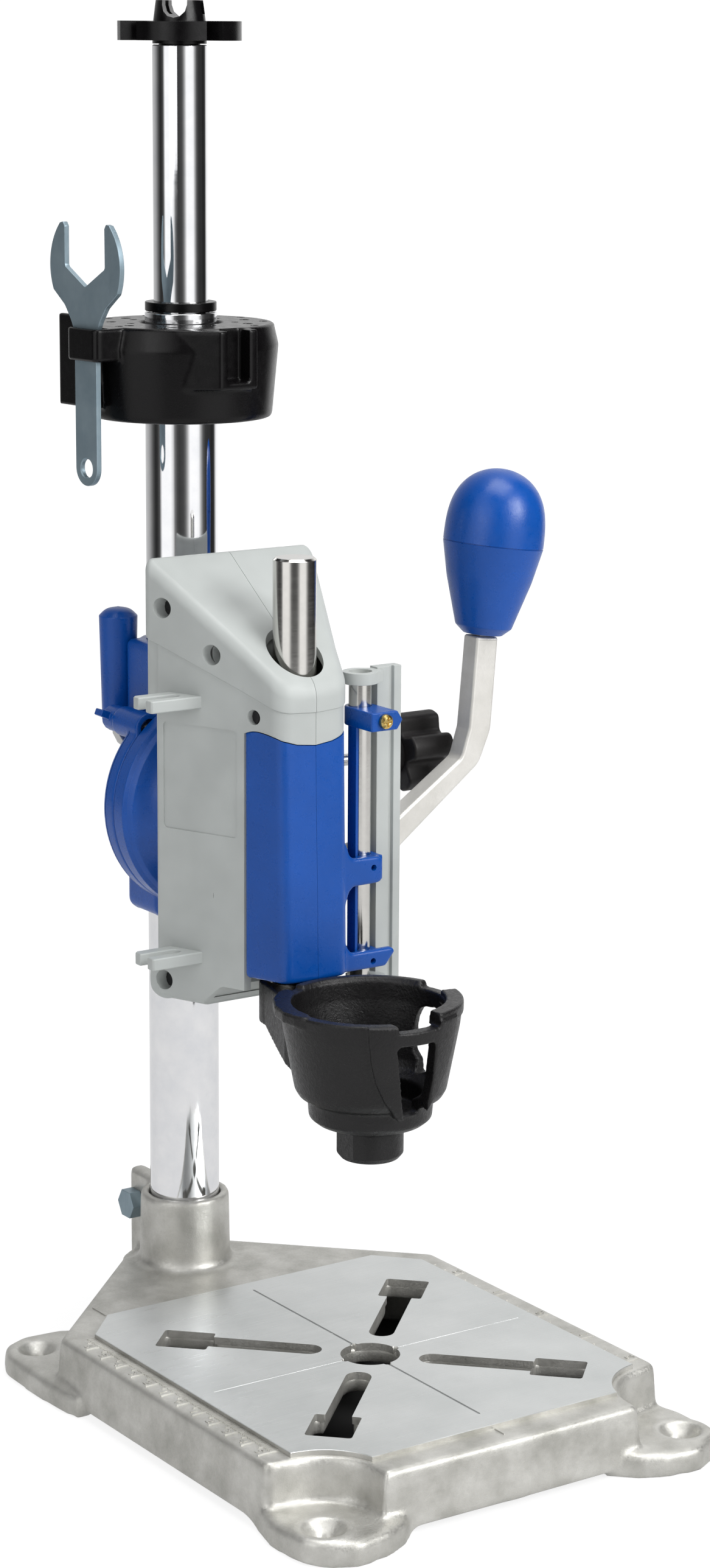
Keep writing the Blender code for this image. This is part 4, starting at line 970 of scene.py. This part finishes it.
    def left_side(self, shell):
        """Label recess with round corners, blind shaft seat and the two forked hooks."""
        start = np.array([-19.0, -70.7]) + self.ALONG * 3.0
        label = fillet([(0, 198.5), (31.2, 198.5), (31.2, 236.0), (0, 236.0)], 1.4)
        line = start + self.ALONG * label[:, :1]
        rows = [np.column_stack([line + self.INTO * d, label[:, 1]]) for d in (-3.0, 0.75)]
        combine(shell, skin("label", np.stack(rows)))
        fused(shell, rod("seat", 8.0, -22.2, -19.5, PINION, "X", 36))
        combine(shell, rod("well", 5.08, -23.5, -15, PINION, "X", 36))
        hook = [(-24.5, -54.0), (-44.6, -54.0), (-45.2, -53.4), (-45.2, -49.9)]
        hook += arc(-33.0, -47.6, 2.3, -90, 90, 10).tolist()
        hook += [(-45.2, -45.3), (-45.2, -42.0), (-44.0, -40.8), (-28.0, -40.8), (-22, -42)]
        radii = [0, 0.5, 0.5, 0.6] + [0] * 11 + [0.6, 0.8, 0.8, 3.0, 0]
        for low, high in ((242.2, 246.5), (151.9, 156.2)):
            fused(shell, slab("hook", fillet(hook, radii), low, high, 0.5))

    def right_side(self, shell):
        """Boss round the feed shaft."""
        boss = fillet([(0, 22.3), (8.0, 22.3), (8.0, 29.5), (0, 29.5)], (0, 0, 0.6, 0))
        fused(shell, turned("boss", boss, PINION, "X", 40))
        combine(shell, rod("way", 5.1, 15, 45, PINION, "X", 40))


class STAND_OT_front(bpy.types.Operator):
    """Build the blue front body with its two gauge arms"""

    bl_idname = "stand.front"
    bl_label = "Front body"

    @staticmethod
    def lean(z):
        """How far the wall at a height stands forward of its place at the top."""
        top, height, most = 232.2, 82.3, 2.2
        share = (top - z) / height * most
        start, length = -69.0, 17.0
        return lambda y: share * np.clip((start - y) / length, 0, 1)

    def wall(self, name, depth, low, high, edge):
        """Rounded front wall from foot to top: each row is the outline drawn in, with a leaning front."""
        line = fillet(mirrored([(0, -62.0), (16.1, -62.0), (16.1, -70.8), (18.7, -71.0), (12.6, -86.2),
                                (0, -86.75)]),
                      [0, 0.3, 0.1, 0.5, 5.0, 0, 5.0, 0.5, 0.1, 0.3], steps=8)
        turn = np.linspace(0, math.pi / 2, 5)
        rows = [(low + edge * (1 - math.cos(t)), edge * (1 - math.sin(t))) for t in turn]
        rows += [(z, 0) for z in np.linspace(low + 8, high - 6, 6)] + [(high, 0)]
        return raised(name, line, [(level(z), depth + d, self.lean(z)) for z, d in rows])

    def execute(self, context):
        body = self.wall("body", 0, 149.9, 240.0, 1.5)
        lower = fillet([(6.0, 150.2), (30.0, 150.2), (34.0, 155.0), (33.2, 156.6), (16.2, 156.6),
                        (14.6, 158.2), (13.2, 161.0), (6.0, 161.0)], (0.1, 1.5, 1.0, 0.8, 1.5, 1.5, 1.0, 0.1))
        upper = fillet([(6.0, 174.0), (13.2, 174.0), (14.8, 178.8), (16.6, 180.4), (28.5, 180.6),
                        (28.5, 189.9), (16.8, 190.2), (14.8, 191.6), (13.4, 196.0), (6.0, 196.0)],
                       (0.1, 1.0, 2.5, 1.5, 2.0, 2.0, 1.5, 2.0, 1.0, 0.1))
        adds = []
        for arm, foot, top, back in ((lower, 150.8, 155.6, 150.8), (upper, 180.8, 189.6, 174.0)):
            adds.append(slab("arm", arm, -86.2, -82.9, 0.7, "Y"))
            adds.append(block("rod_boss", (21.0, 30.2), (-83.6, -71.5), (foot, top)))
            adds.append(block("arm_back", (12.0, 29.8), (-73.4, -71.5), (back, top - 0.4)))
        bulge = np.vstack([[(-70.6, 232.0)], arc(-46.5, 217.5, 32.9, 153.8, 221.3, 24), [(-70.6, 195.8)]])
        adds.append(slab("bulge", bulge, 11.0, 16.8, 0.7, "X"))
        whole = cast_over(merged(body, *adds), sizes().plastic_voxel / MM, 3, 0.4)
        mouth = inset(fillet(mirrored(MOUTH), 3.0, steps=5), 0.3)
        around = [(-60, 100), (60, 100), (60, 300), (-60, 300)]
        frame_cut = slab("frame_cut", around, -120, -40, SHARP, "Y", 1)
        keep = slab("keep", mouth, -130, -30, SHARP, "Y", 1)
        combine(frame_cut, keep, block("low", (-70, 70), (-130, -30), (90, 215)))
        cuts = [frame_cut, self.wall("hollow", 2.9, 158.2, 260, SHARP)]
        cuts.append(block("open_back", (-13.1, 13.1), (-70, -50), (158.2, 260)))
        cuts.append(rod("bush_way", 10.65, 145, 165, QUILL))
        cuts.append(rod("guide_way", 4.12, 140, 200, GUIDE, steps=40))
        for z in (152.8, 186.2):
            hole = [(0, -90), (1.1, -90), (1.1, -86.0), (0.85, -85.6), (0.85, -80.5), (0, -80.5)]
            cuts.append(turned("pin_hole", hole, (GUIDE_X, z), "Y", 20))
        combine(whole, *cuts)
        right = parted(whole, "body_right_skin", 0.05)
        whole.name = "body_left_skin"
        for obj, node in ((whole, "body_left"), (right, "body_right")):
            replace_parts(finished(obj, "blue", node, 50), node)
        return {"FINISHED"}


class STAND_OT_quill(bpy.types.Operator):
    """Build the quill, the guide rod, the depth rail and its stop"""

    bl_idname = "stand.quill"
    bl_label = "Quill and depth gauge"

    def execute(self, context):
        dressed("quill_rod", "ground", 0.2, 2)
        dressed("guide_rod", "ground", 0.2, 2)
        dressed("depth_rail", "grey", 0.3, 2)
        self.stop()
        dressed("stop_screw", "brass", 0.15, 1)
        return {"FINISHED"}

    @staticmethod
    def stop():
        """Clamp round the guide rod with a pointed right end, and its thin tongue down to the arms."""
        back = arc(GUIDE_X, GUIDE_Y, 5.4, 0, 180, 24).tolist()
        line = fillet(back + [(19.3, -92.2), (30.1, -92.2)], [0.5] + [0] * 23 + [0.5, 0.8, 0.8])
        stop = slab("stop_clamp_skin", line, 235.4, 242.0, 0.5)
        point = fillet([(27.0, 235.4), (30.0, 235.4), (32.2, 238.7), (30.0, 242.0), (27.0, 242.0)],
                       (0, 0.8, 0.8, 0.8, 0))
        tongue = [(19.5, 149.2), (20.5, 149.2), (20.5, 237), (19.5, 237)]
        fused(stop, slab("point", point, -92.2, -88.6, 0.5, "Y"),
              slab("tongue", tongue, -82.4, -77.4, 0.1, "Y"))
        combine(stop, rod("rod_way", 4.12, 230, 250, GUIDE),
                rod("screw_way", 1.65, -95, -79, (GUIDE_X, 238.8), "Y", 24))
        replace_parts(finished(stop, "blue", "stop_clamp", 35), "stop_clamp")


class STAND_OT_cup(bpy.types.Operator):
    """Build the tool cup and its nose"""

    bl_idname = "stand.cup"
    bl_label = "Tool cup"

    STEPS = 160

    @staticmethod
    def yoke():
        """Block between the cup and the quill: round behind, flat sides, and a sloping underside."""
        block_line = np.vstack([arc(0, QUILL_Y, 12.1, 0, 46, 10), arc(0, QUILL_Y, 12.1, 134, 180, 10),
                                [(-17.5, -94.5), (-17.5, -104), (17.5, -104), (17.5, -94.5)]])
        foot = [(-50, 105), (-50, 132.6), (-73.5, 132.4), (-86, 127.5), (-97.5, 123.6), (-112, 118),
                (-112, 105)]
        return combine(slab("yoke", block_line, 110, 147.4, 0.8), slab("foot", foot, -30, 30, SHARP, "X"))

    @staticmethod
    def shield():
        """Thicker front wall that narrows towards the foot: stacked ring sectors."""
        rows = []
        for z, r, half in ((115.6, 25.6, 11.5), (119, 26.4, 16.5), (123.5, 27.3, 23), (130, 28.6, 29),
                           (137, 29.9, 32), (143, 30.8, 33), (149.5, 31.5, 34)):
            line = sector(20.5 if z < 121 else r - 2.4, r + 0.35, -92 - half, -92 + half, 24)
            rows.append(laid(line, z, "Z"))
        return skin("shield", np.stack(rows))

    def execute(self, context):
        profile = fillet([(0, 108.6), (18.2, 108.6), (20.9, 110.8), (21.4, 117.0), (24.4, 118.4),
                          (25.8, 120.8), (30.0, 143), (30.9, 150.0), (0, 150.0)],
                         (0, 1.0, 1.5, 1.5, 1.2, 3.0, 6.0, 0.3, 0))
        cup = turned("tool_cup_skin", profile, CUP, steps=self.STEPS)
        lug = fillet([(8, -76.5), (8, -66), (31.5, -66), (33, -70), (33, -82.2), (21.6, -82.2),
                      (21.6, -76.5)], 1.0)
        lip = fillet([(-14.5, -92.4), (-19.0, -93.2), (-25.6, -99.6), (-30.6, -108.4), (-32.6, -116.5),
                      (-32.0, -123), (-30.2, -128), (-24, -121), (-17, -103)], 1.5)
        adds = [self.yoke(), slab("guide_lug", lug, 129, 137.0, 0.6),
                slab("back_rim", sector(27.6, 31.2, 18, 112), 149, 151.3, 0.5),
                slab("front_pad", sector(25.2, 31.2, -77, -12), 147.6, 152.0, 0.5),
                slab("lip", lip, 146.6, 150.5, 0.5), self.shield()]
        fused(cup, *adds)
        inner = fillet([(0, 100), (8.2, 100), (8.2, 112), (17.2, 112), (17.2, 119.4), (21.6, 121.4),
                        (23.0, 124), (26.6, 143.5), (27.4, 161), (0, 161)],
                       (0, 0, 0.3, 0.8, 1.0, 1.0, 2.0, 3.0, 0, 0))
        inside = turned("inside", inner, CUP, steps=self.STEPS)
        combine(inside, slab("pad_kept", sector(24.7, 34, -77.6, -11.4), 147.1, 165, SHARP))
        window = fillet([(-9.5, 142.6), (5.4, 142.6), (5.9, 130), (5.3, 115.8), (-4.0, 115.8),
                         (-6.3, 126.5)][::-1], 1.4)
        side = fillet([(-126.5, 142.8), (-120, 143.6), (-113.5, 142.4), (-112, 136), (-112.6, 128),
                       (-117.5, 120.2), (-123, 123), (-126, 132)], 2.0)
        splay = 0.45 * ((side[:, 0] + 120) / 8).clip(0, 1)
        side = np.stack([laid(side + np.stack([splay * (x - 25), 0 * splay], 1), x, "X") for x in (15, 40)])
        cuts = [inside, slab("front_window", window, CUP_Y - 40, CUP_Y - 15, SHARP, "Y"),
                block("front_step", (-9.2, 7.0), (CUP_Y - 40, CUP_Y - 10), (147.4, 160)),
                skin("side_window", side),
                slab("side_step", sector(5, 36, -13, 17, 8), 149.3, 160, SHARP)]
        combine(cup, *cuts)
        cast_over(cup, sizes().cup_voxel / MM, 4, 0.5)
        combine(cup, rod("quill_way", 9.575, 134.9, 162, QUILL), rod("guide_way", 4.05, 131.4, 162, GUIDE))
        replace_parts(finished(cup, "cup", "tool_cup", 60), "tool_cup")
        self.nose()
        return {"FINISHED"}

    def nose(self):
        """Collar of the cup with two flats and a bored throat."""
        outer = fillet([(4.9, 96.0), (9.9, 96.0), (11.4, 97.8), (11.4, 106.0), (10.9, 108.3), (8.0, 108.3),
                        (8.0, 113.4), (4.9, 113.4)], (0.4, 0.5, 1.0, 0.8, 0.4, 0, 0.3, 0.4), steps=4)
        nose = turned("nose_cap_skin", outer, CUP, steps=96, ring=True)
        half_across = 10.3
        for side in (-1, 1):
            lo, hi = sorted((side * half_across, side * 14.0))
            combine(nose, block("flat", (lo, hi), (CUP_Y - 15, CUP_Y + 15), (90, 106.2)))
        bevelled(nose, 0.25, 2, 30)
        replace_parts(finished(nose, "cup", "nose_cap", 40), "nose_cap")


class STAND_OT_lever(bpy.types.Operator):
    """Build the pinion, the cast feed lever and its egg-shaped knob"""

    bl_idname = "stand.lever"
    bl_label = "Feed lever"

    def execute(self, context):
        dressed("pinion", "steel", 0.1, 1)
        dressed("lever_bolt", "zinc", 0.2, 1)
        dressed("feed_spring", "steel", 0.0)
        self.arm()
        self.knob()
        return {"FINISHED"}

    @staticmethod
    def arm():
        """Cranked bar of one thickness with rounded edges, joined to a round hub."""
        front, back = PINION_Y - 4.3, PINION_Y + 4.3
        bar = fillet([(44, 178.4), (55.5, 184.2), (90.2, 210.8), (95.2, 222.5), (98.0, 256.2), (88.5, 257.2),
                      (85.6, 224.0), (82.3, 213.6), (59.4, 198.1), (44, 187.2)],
                     (0, 3, 9, 14, 1.0, 1.0, 8, 5, 4, 0), steps=8)
        lever = slab("feed_lever_skin", bar, front, back, 1.1, "Y", 5)
        hub = fillet([(0, 37.0), (10.2, 37.0), (10.2, 49.5), (0, 49.5)], (0, 1.4, 1.4, 0))
        tang = [(91.0, 255), (95.4, 255), (98.0, 284), (93.6, 284)]
        fused(lever, turned("hub", hub, PINION, "X", 72),
                slab("tang", tang, PINION_Y - 2.4, PINION_Y + 2.4, 0.4, "Y"))
        ways = [(0, 30), (5.05, 30), (5.05, 49.2), (2.2, 49.2), (2.2, 60), (0, 60)]
        combine(lever, turned("ways", ways, PINION, "X", 48))
        bevelled(lever, 0.5, 3, 32)
        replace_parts(finished(lever, "lever", "feed_lever", 40), "feed_lever")

    @staticmethod
    def knob():
        """Egg on a leaning axis: a cone, a fine parting line, and above it r = R (1 - (h / H)^3)^0.5."""
        radius, seam, height = 18.1, 32.6, 27.1
        t = np.sin(np.linspace(0.012, math.pi / 2, 36))
        up = height * t
        dome = np.stack([radius * (1 - t ** 3) ** 0.5, seam + up], 1)
        cone = fillet([(0, 0), (7.0, 0), (10.2, 2.8), (15.4, 20.0), (radius, seam - 0.2)],
                      (0, 0.8, 1.6, 40, 0), closed=False, steps=8)
        line = np.vstack([cone, [(radius - 0.25, seam - 0.12), (radius - 0.25, seam + 0.14)],
                          [(radius, seam + 0.22)], dome])
        line[-1, 0] = 0
        knob = turned("lever_knob_skin", line, steps=112)
        slot = fillet([(-3.1, -2.7), (3.1, -2.7), (3.1, 2.7), (-3.1, 2.7)], 0.3)
        combine(knob, slab("tang_way", slot, -1, 29.5, SHARP))
        move = Matrix.Translation(Vector((93.8, PINION_Y, 257.2)) * MM) @ Matrix.Rotation(math.radians(7.5),
                                                                                          4, "Y")
        knob.data.transform(move)
        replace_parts(finished(knob, "blue", "lever_knob", 30), "lever_knob")


class STAND_OT_stage(bpy.types.Operator):
    """Build the floor, the studio light and the photograph's camera"""

    bl_idname = "stand.stage"
    bl_label = "Stage"

    def execute(self, context):
        sides = 96
        t = np.linspace(0, 2 * math.pi, sides, endpoint=False)
        rim = np.stack([np.cos(t), np.sin(t), np.zeros(sides)], 1) * sizes().floor_size / 2
        mesh = bpy.data.meshes.new("floor")
        mesh.from_pydata(rim.tolist(), [], [tuple(range(sides))])
        floor = placed("floor", mesh)
        floor.data.materials.append(pale_floor())
        studio_world()
        middle = Vector((0.0, -0.08, 0.22))
        for name, place, size, power in (("key", (0.7, -1.7, 1.2), 1.0, 30.0),
                                         ("fill", (-1.5, -0.9, 0.9), 1.2, 5.0),
                                         ("top", (0.1, -0.3, 2.0), 1.2, 22.0)):
            lamp = bpy.data.lights.new(name, "AREA")
            lamp.energy = power
            lamp.size = size
            obj = placed(name, lamp)
            obj.location = place
            obj.rotation_euler = (middle - Vector(place)).to_track_quat("-Z", "Y").to_euler()
        place_camera()
        return {"FINISHED"}


def pale_floor():
    """White floor: nearly white to the camera, pale grey in reflections, and coloured near black under the open
    table as painted shade.
    """
    f = Finish("pale_floor", (0.86, 0.86, 0.86), 0.0, 0.9)
    f.shader.inputs["Specular IOR Level"].default_value = 0.0
    path = f.node("ShaderNodeLightPath")

    def maths(a, b, operation="MAXIMUM"):
        """Output of a math node on two sockets or numbers."""
        made = f.node("ShaderNodeMath", operation=operation)
        for value, socket in ((a, made.inputs[0]), (b, made.inputs[1])):
            if isinstance(value, float):
                socket.default_value = value
            else:
                f.link(value, socket)
        return made.outputs[0]

    split = f.node("ShaderNodeSeparateXYZ")
    f.link(f.place, split.inputs[0])
    # painted shade: inside this box under the open table the floor is coloured near black and gives no glow,
    # standing in for the shade that falls inside the table
    middle_y, half_x, half_y = 0.115, 0.070, 0.081
    across = maths(split.outputs["X"], 0.0, "ABSOLUTE")
    along = maths(maths(split.outputs["Y"], middle_y, "ADD"), 0.0, "ABSOLUTE")
    clear_of_painted_shade = maths(maths(across, half_x, "GREATER_THAN"), maths(along, half_y, "GREATER_THAN"))
    seen = maths(path.outputs["Is Camera Ray"], path.outputs["Is Glossy Ray"])
    share = maths(maths(seen, 0.74, "MULTIPLY"), clear_of_painted_shade, "MULTIPLY")
    # base colour: pale clear of the table, a painted shade of 0.04 under it
    f.link(maths(maths(clear_of_painted_shade, 0.82, "MULTIPLY"), 0.04, "ADD"), f.shader.inputs["Base Color"])
    white = f.node("ShaderNodeEmission", Color=(1, 1, 1, 1))
    strength = maths(maths(path.outputs["Is Camera Ray"], 0.44, "MULTIPLY"), 0.68, "ADD")
    f.link(strength, white.inputs["Strength"])
    mix = f.node("ShaderNodeMixShader")
    f.link(share, mix.inputs[0])
    f.link(f.shader.outputs[0], mix.inputs[1])
    f.link(white.outputs[0], mix.inputs[2])
    f.link(mix.outputs[0], f.tree.nodes["Material Output"].inputs["Surface"])
    return f.material


def studio_world():
    """Even pale world; reflections see upright dark flags round the set, by compass angle."""
    world = bpy.data.worlds.new("studio")
    bpy.context.scene.world = world
    w = Nodes(world)
    w.tree.nodes.clear()
    # heading of a ray as a share of the full turn, from -X through -Y, +X and +Y
    split = w.node("ShaderNodeSeparateXYZ")
    w.link(w.node("ShaderNodeTexCoord").outputs["Generated"], split.inputs[0])
    angle = w.node("ShaderNodeMath", operation="ARCTAN2")
    w.link(split.outputs["Y"], angle.inputs[0])
    w.link(split.outputs["X"], angle.inputs[1])
    share = w.node("ShaderNodeMapRange", **{"From Min": -math.pi, "From Max": math.pi})
    w.link(angle.outputs[0], share.inputs["Value"])
    ramp = w.node("ShaderNodeValToRGB")
    w.link(share.outputs[0], ramp.inputs[0])
    # brightness of the world in reflections at each heading
    stops = ((0.0, 1.15), (0.066, 1.15), (0.086, 0.83), (0.105, 0.187), (0.125, 0.073), (0.144, 0.049),
             (0.163, 0.058), (0.182, 0.073), (0.201, 0.17), (0.221, 0.54), (0.24, 1.15), (0.30, 1.15),
             (0.322, 1.08), (0.345, 0.42), (0.368, 0.11), (0.392, 0.046), (0.42, 0.035), (0.448, 0.035),
             (0.48, 0.02), (0.519, 0.038), (0.573, 1.10), (0.753, 0.54), (0.807, 0.42), (0.846, 0.23),
             (0.878, 0.085), (0.907, 0.025), (0.934, 0.038), (0.958, 0.117), (0.981, 1.15), (1.0, 1.15))
    band = ramp.color_ramp
    while len(band.elements) > 2:
        band.elements.remove(band.elements[0])
    for k, (at, bright) in enumerate(stops):
        stop = band.elements[k] if k < 2 else band.elements.new(at)
        stop.position = at
        stop.color = (bright, bright, bright, 1)
    path = w.node("ShaderNodeLightPath")
    plain = w.node("ShaderNodeMix", data_type="RGBA")
    plain.inputs[6].default_value = (0.50, 0.50, 0.51, 1)
    w.link(path.outputs["Is Glossy Ray"], plain.inputs[0])
    w.link(ramp.outputs[0], plain.inputs[7])
    seen = w.node("ShaderNodeMix", data_type="RGBA")
    seen.inputs[7].default_value = (1.1, 1.1, 1.1, 1)
    w.link(path.outputs["Is Camera Ray"], seen.inputs[0])
    w.link(plain.outputs[2], seen.inputs[6])
    back = w.node("ShaderNodeBackground")
    w.link(seen.outputs[2], back.inputs["Color"])
    w.link(back.outputs[0], w.node("ShaderNodeOutputWorld").inputs["Surface"])


def place_camera():
    """Camera at the photograph's place: looks along yaw and pitch, with the fitted roll."""
    look = Vector((math.sin(YAW) * math.cos(PITCH), math.cos(YAW) * math.cos(PITCH), -math.sin(PITCH)))
    right = Vector((math.cos(YAW), -math.sin(YAW), 0))
    up = right.cross(look)
    side = right * math.cos(ROLL) + up * math.sin(ROLL)
    top = up * math.cos(ROLL) - right * math.sin(ROLL)
    data = bpy.data.cameras.new("camera")
    data.lens = LENS
    data.sensor_width = SENSOR
    data.clip_start = 0.05
    data.clip_end = 50.0
    camera = placed("camera", data)
    camera.matrix_world = Matrix.Translation(EYE) @ Matrix((side, top, -look)).transposed().to_4x4()
    bpy.context.scene.camera = camera


class STAND_PT_panel(bpy.types.Panel):
    """Lists the pieces of the drill stand"""

    bl_idname = "STAND_PT_panel"
    bl_label = "Drill Stand"
    bl_space_type = "VIEW_3D"
    bl_region_type = "UI"
    bl_category = "Drill Stand"

    def draw(self, context):
        for name in StandSizes.__annotations__:
            self.layout.prop(context.scene.stand_sizes, name)
        for piece in PIECES:
            self.layout.operator(piece.bl_idname)


PIECES = (STAND_OT_table, STAND_OT_column, STAND_OT_tray, STAND_OT_bracket, STAND_OT_tilt, STAND_OT_housing,
          STAND_OT_front, STAND_OT_quill, STAND_OT_cup, STAND_OT_lever, STAND_OT_stage)


def register():
    for item in (StandSizes, *PIECES, STAND_PT_panel):
        bpy.utils.register_class(item)
    bpy.types.Scene.stand_sizes = bpy.props.PointerProperty(type=StandSizes)


def unregister():
    del bpy.types.Scene.stand_sizes
    for item in (STAND_PT_panel, *reversed(PIECES), StandSizes):
        bpy.utils.unregister_class(item)


def main():
    """Registers the add-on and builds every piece."""
    register()
    FINISH.update(make_finishes())
    for piece in PIECES:
        group, name = piece.bl_idname.split(".")
        getattr(getattr(bpy.ops, group), name)()
    bpy.context.scene.view_settings.view_transform = "Standard"
    bpy.context.view_layer.update()


if __name__ == "__main__":
    main()
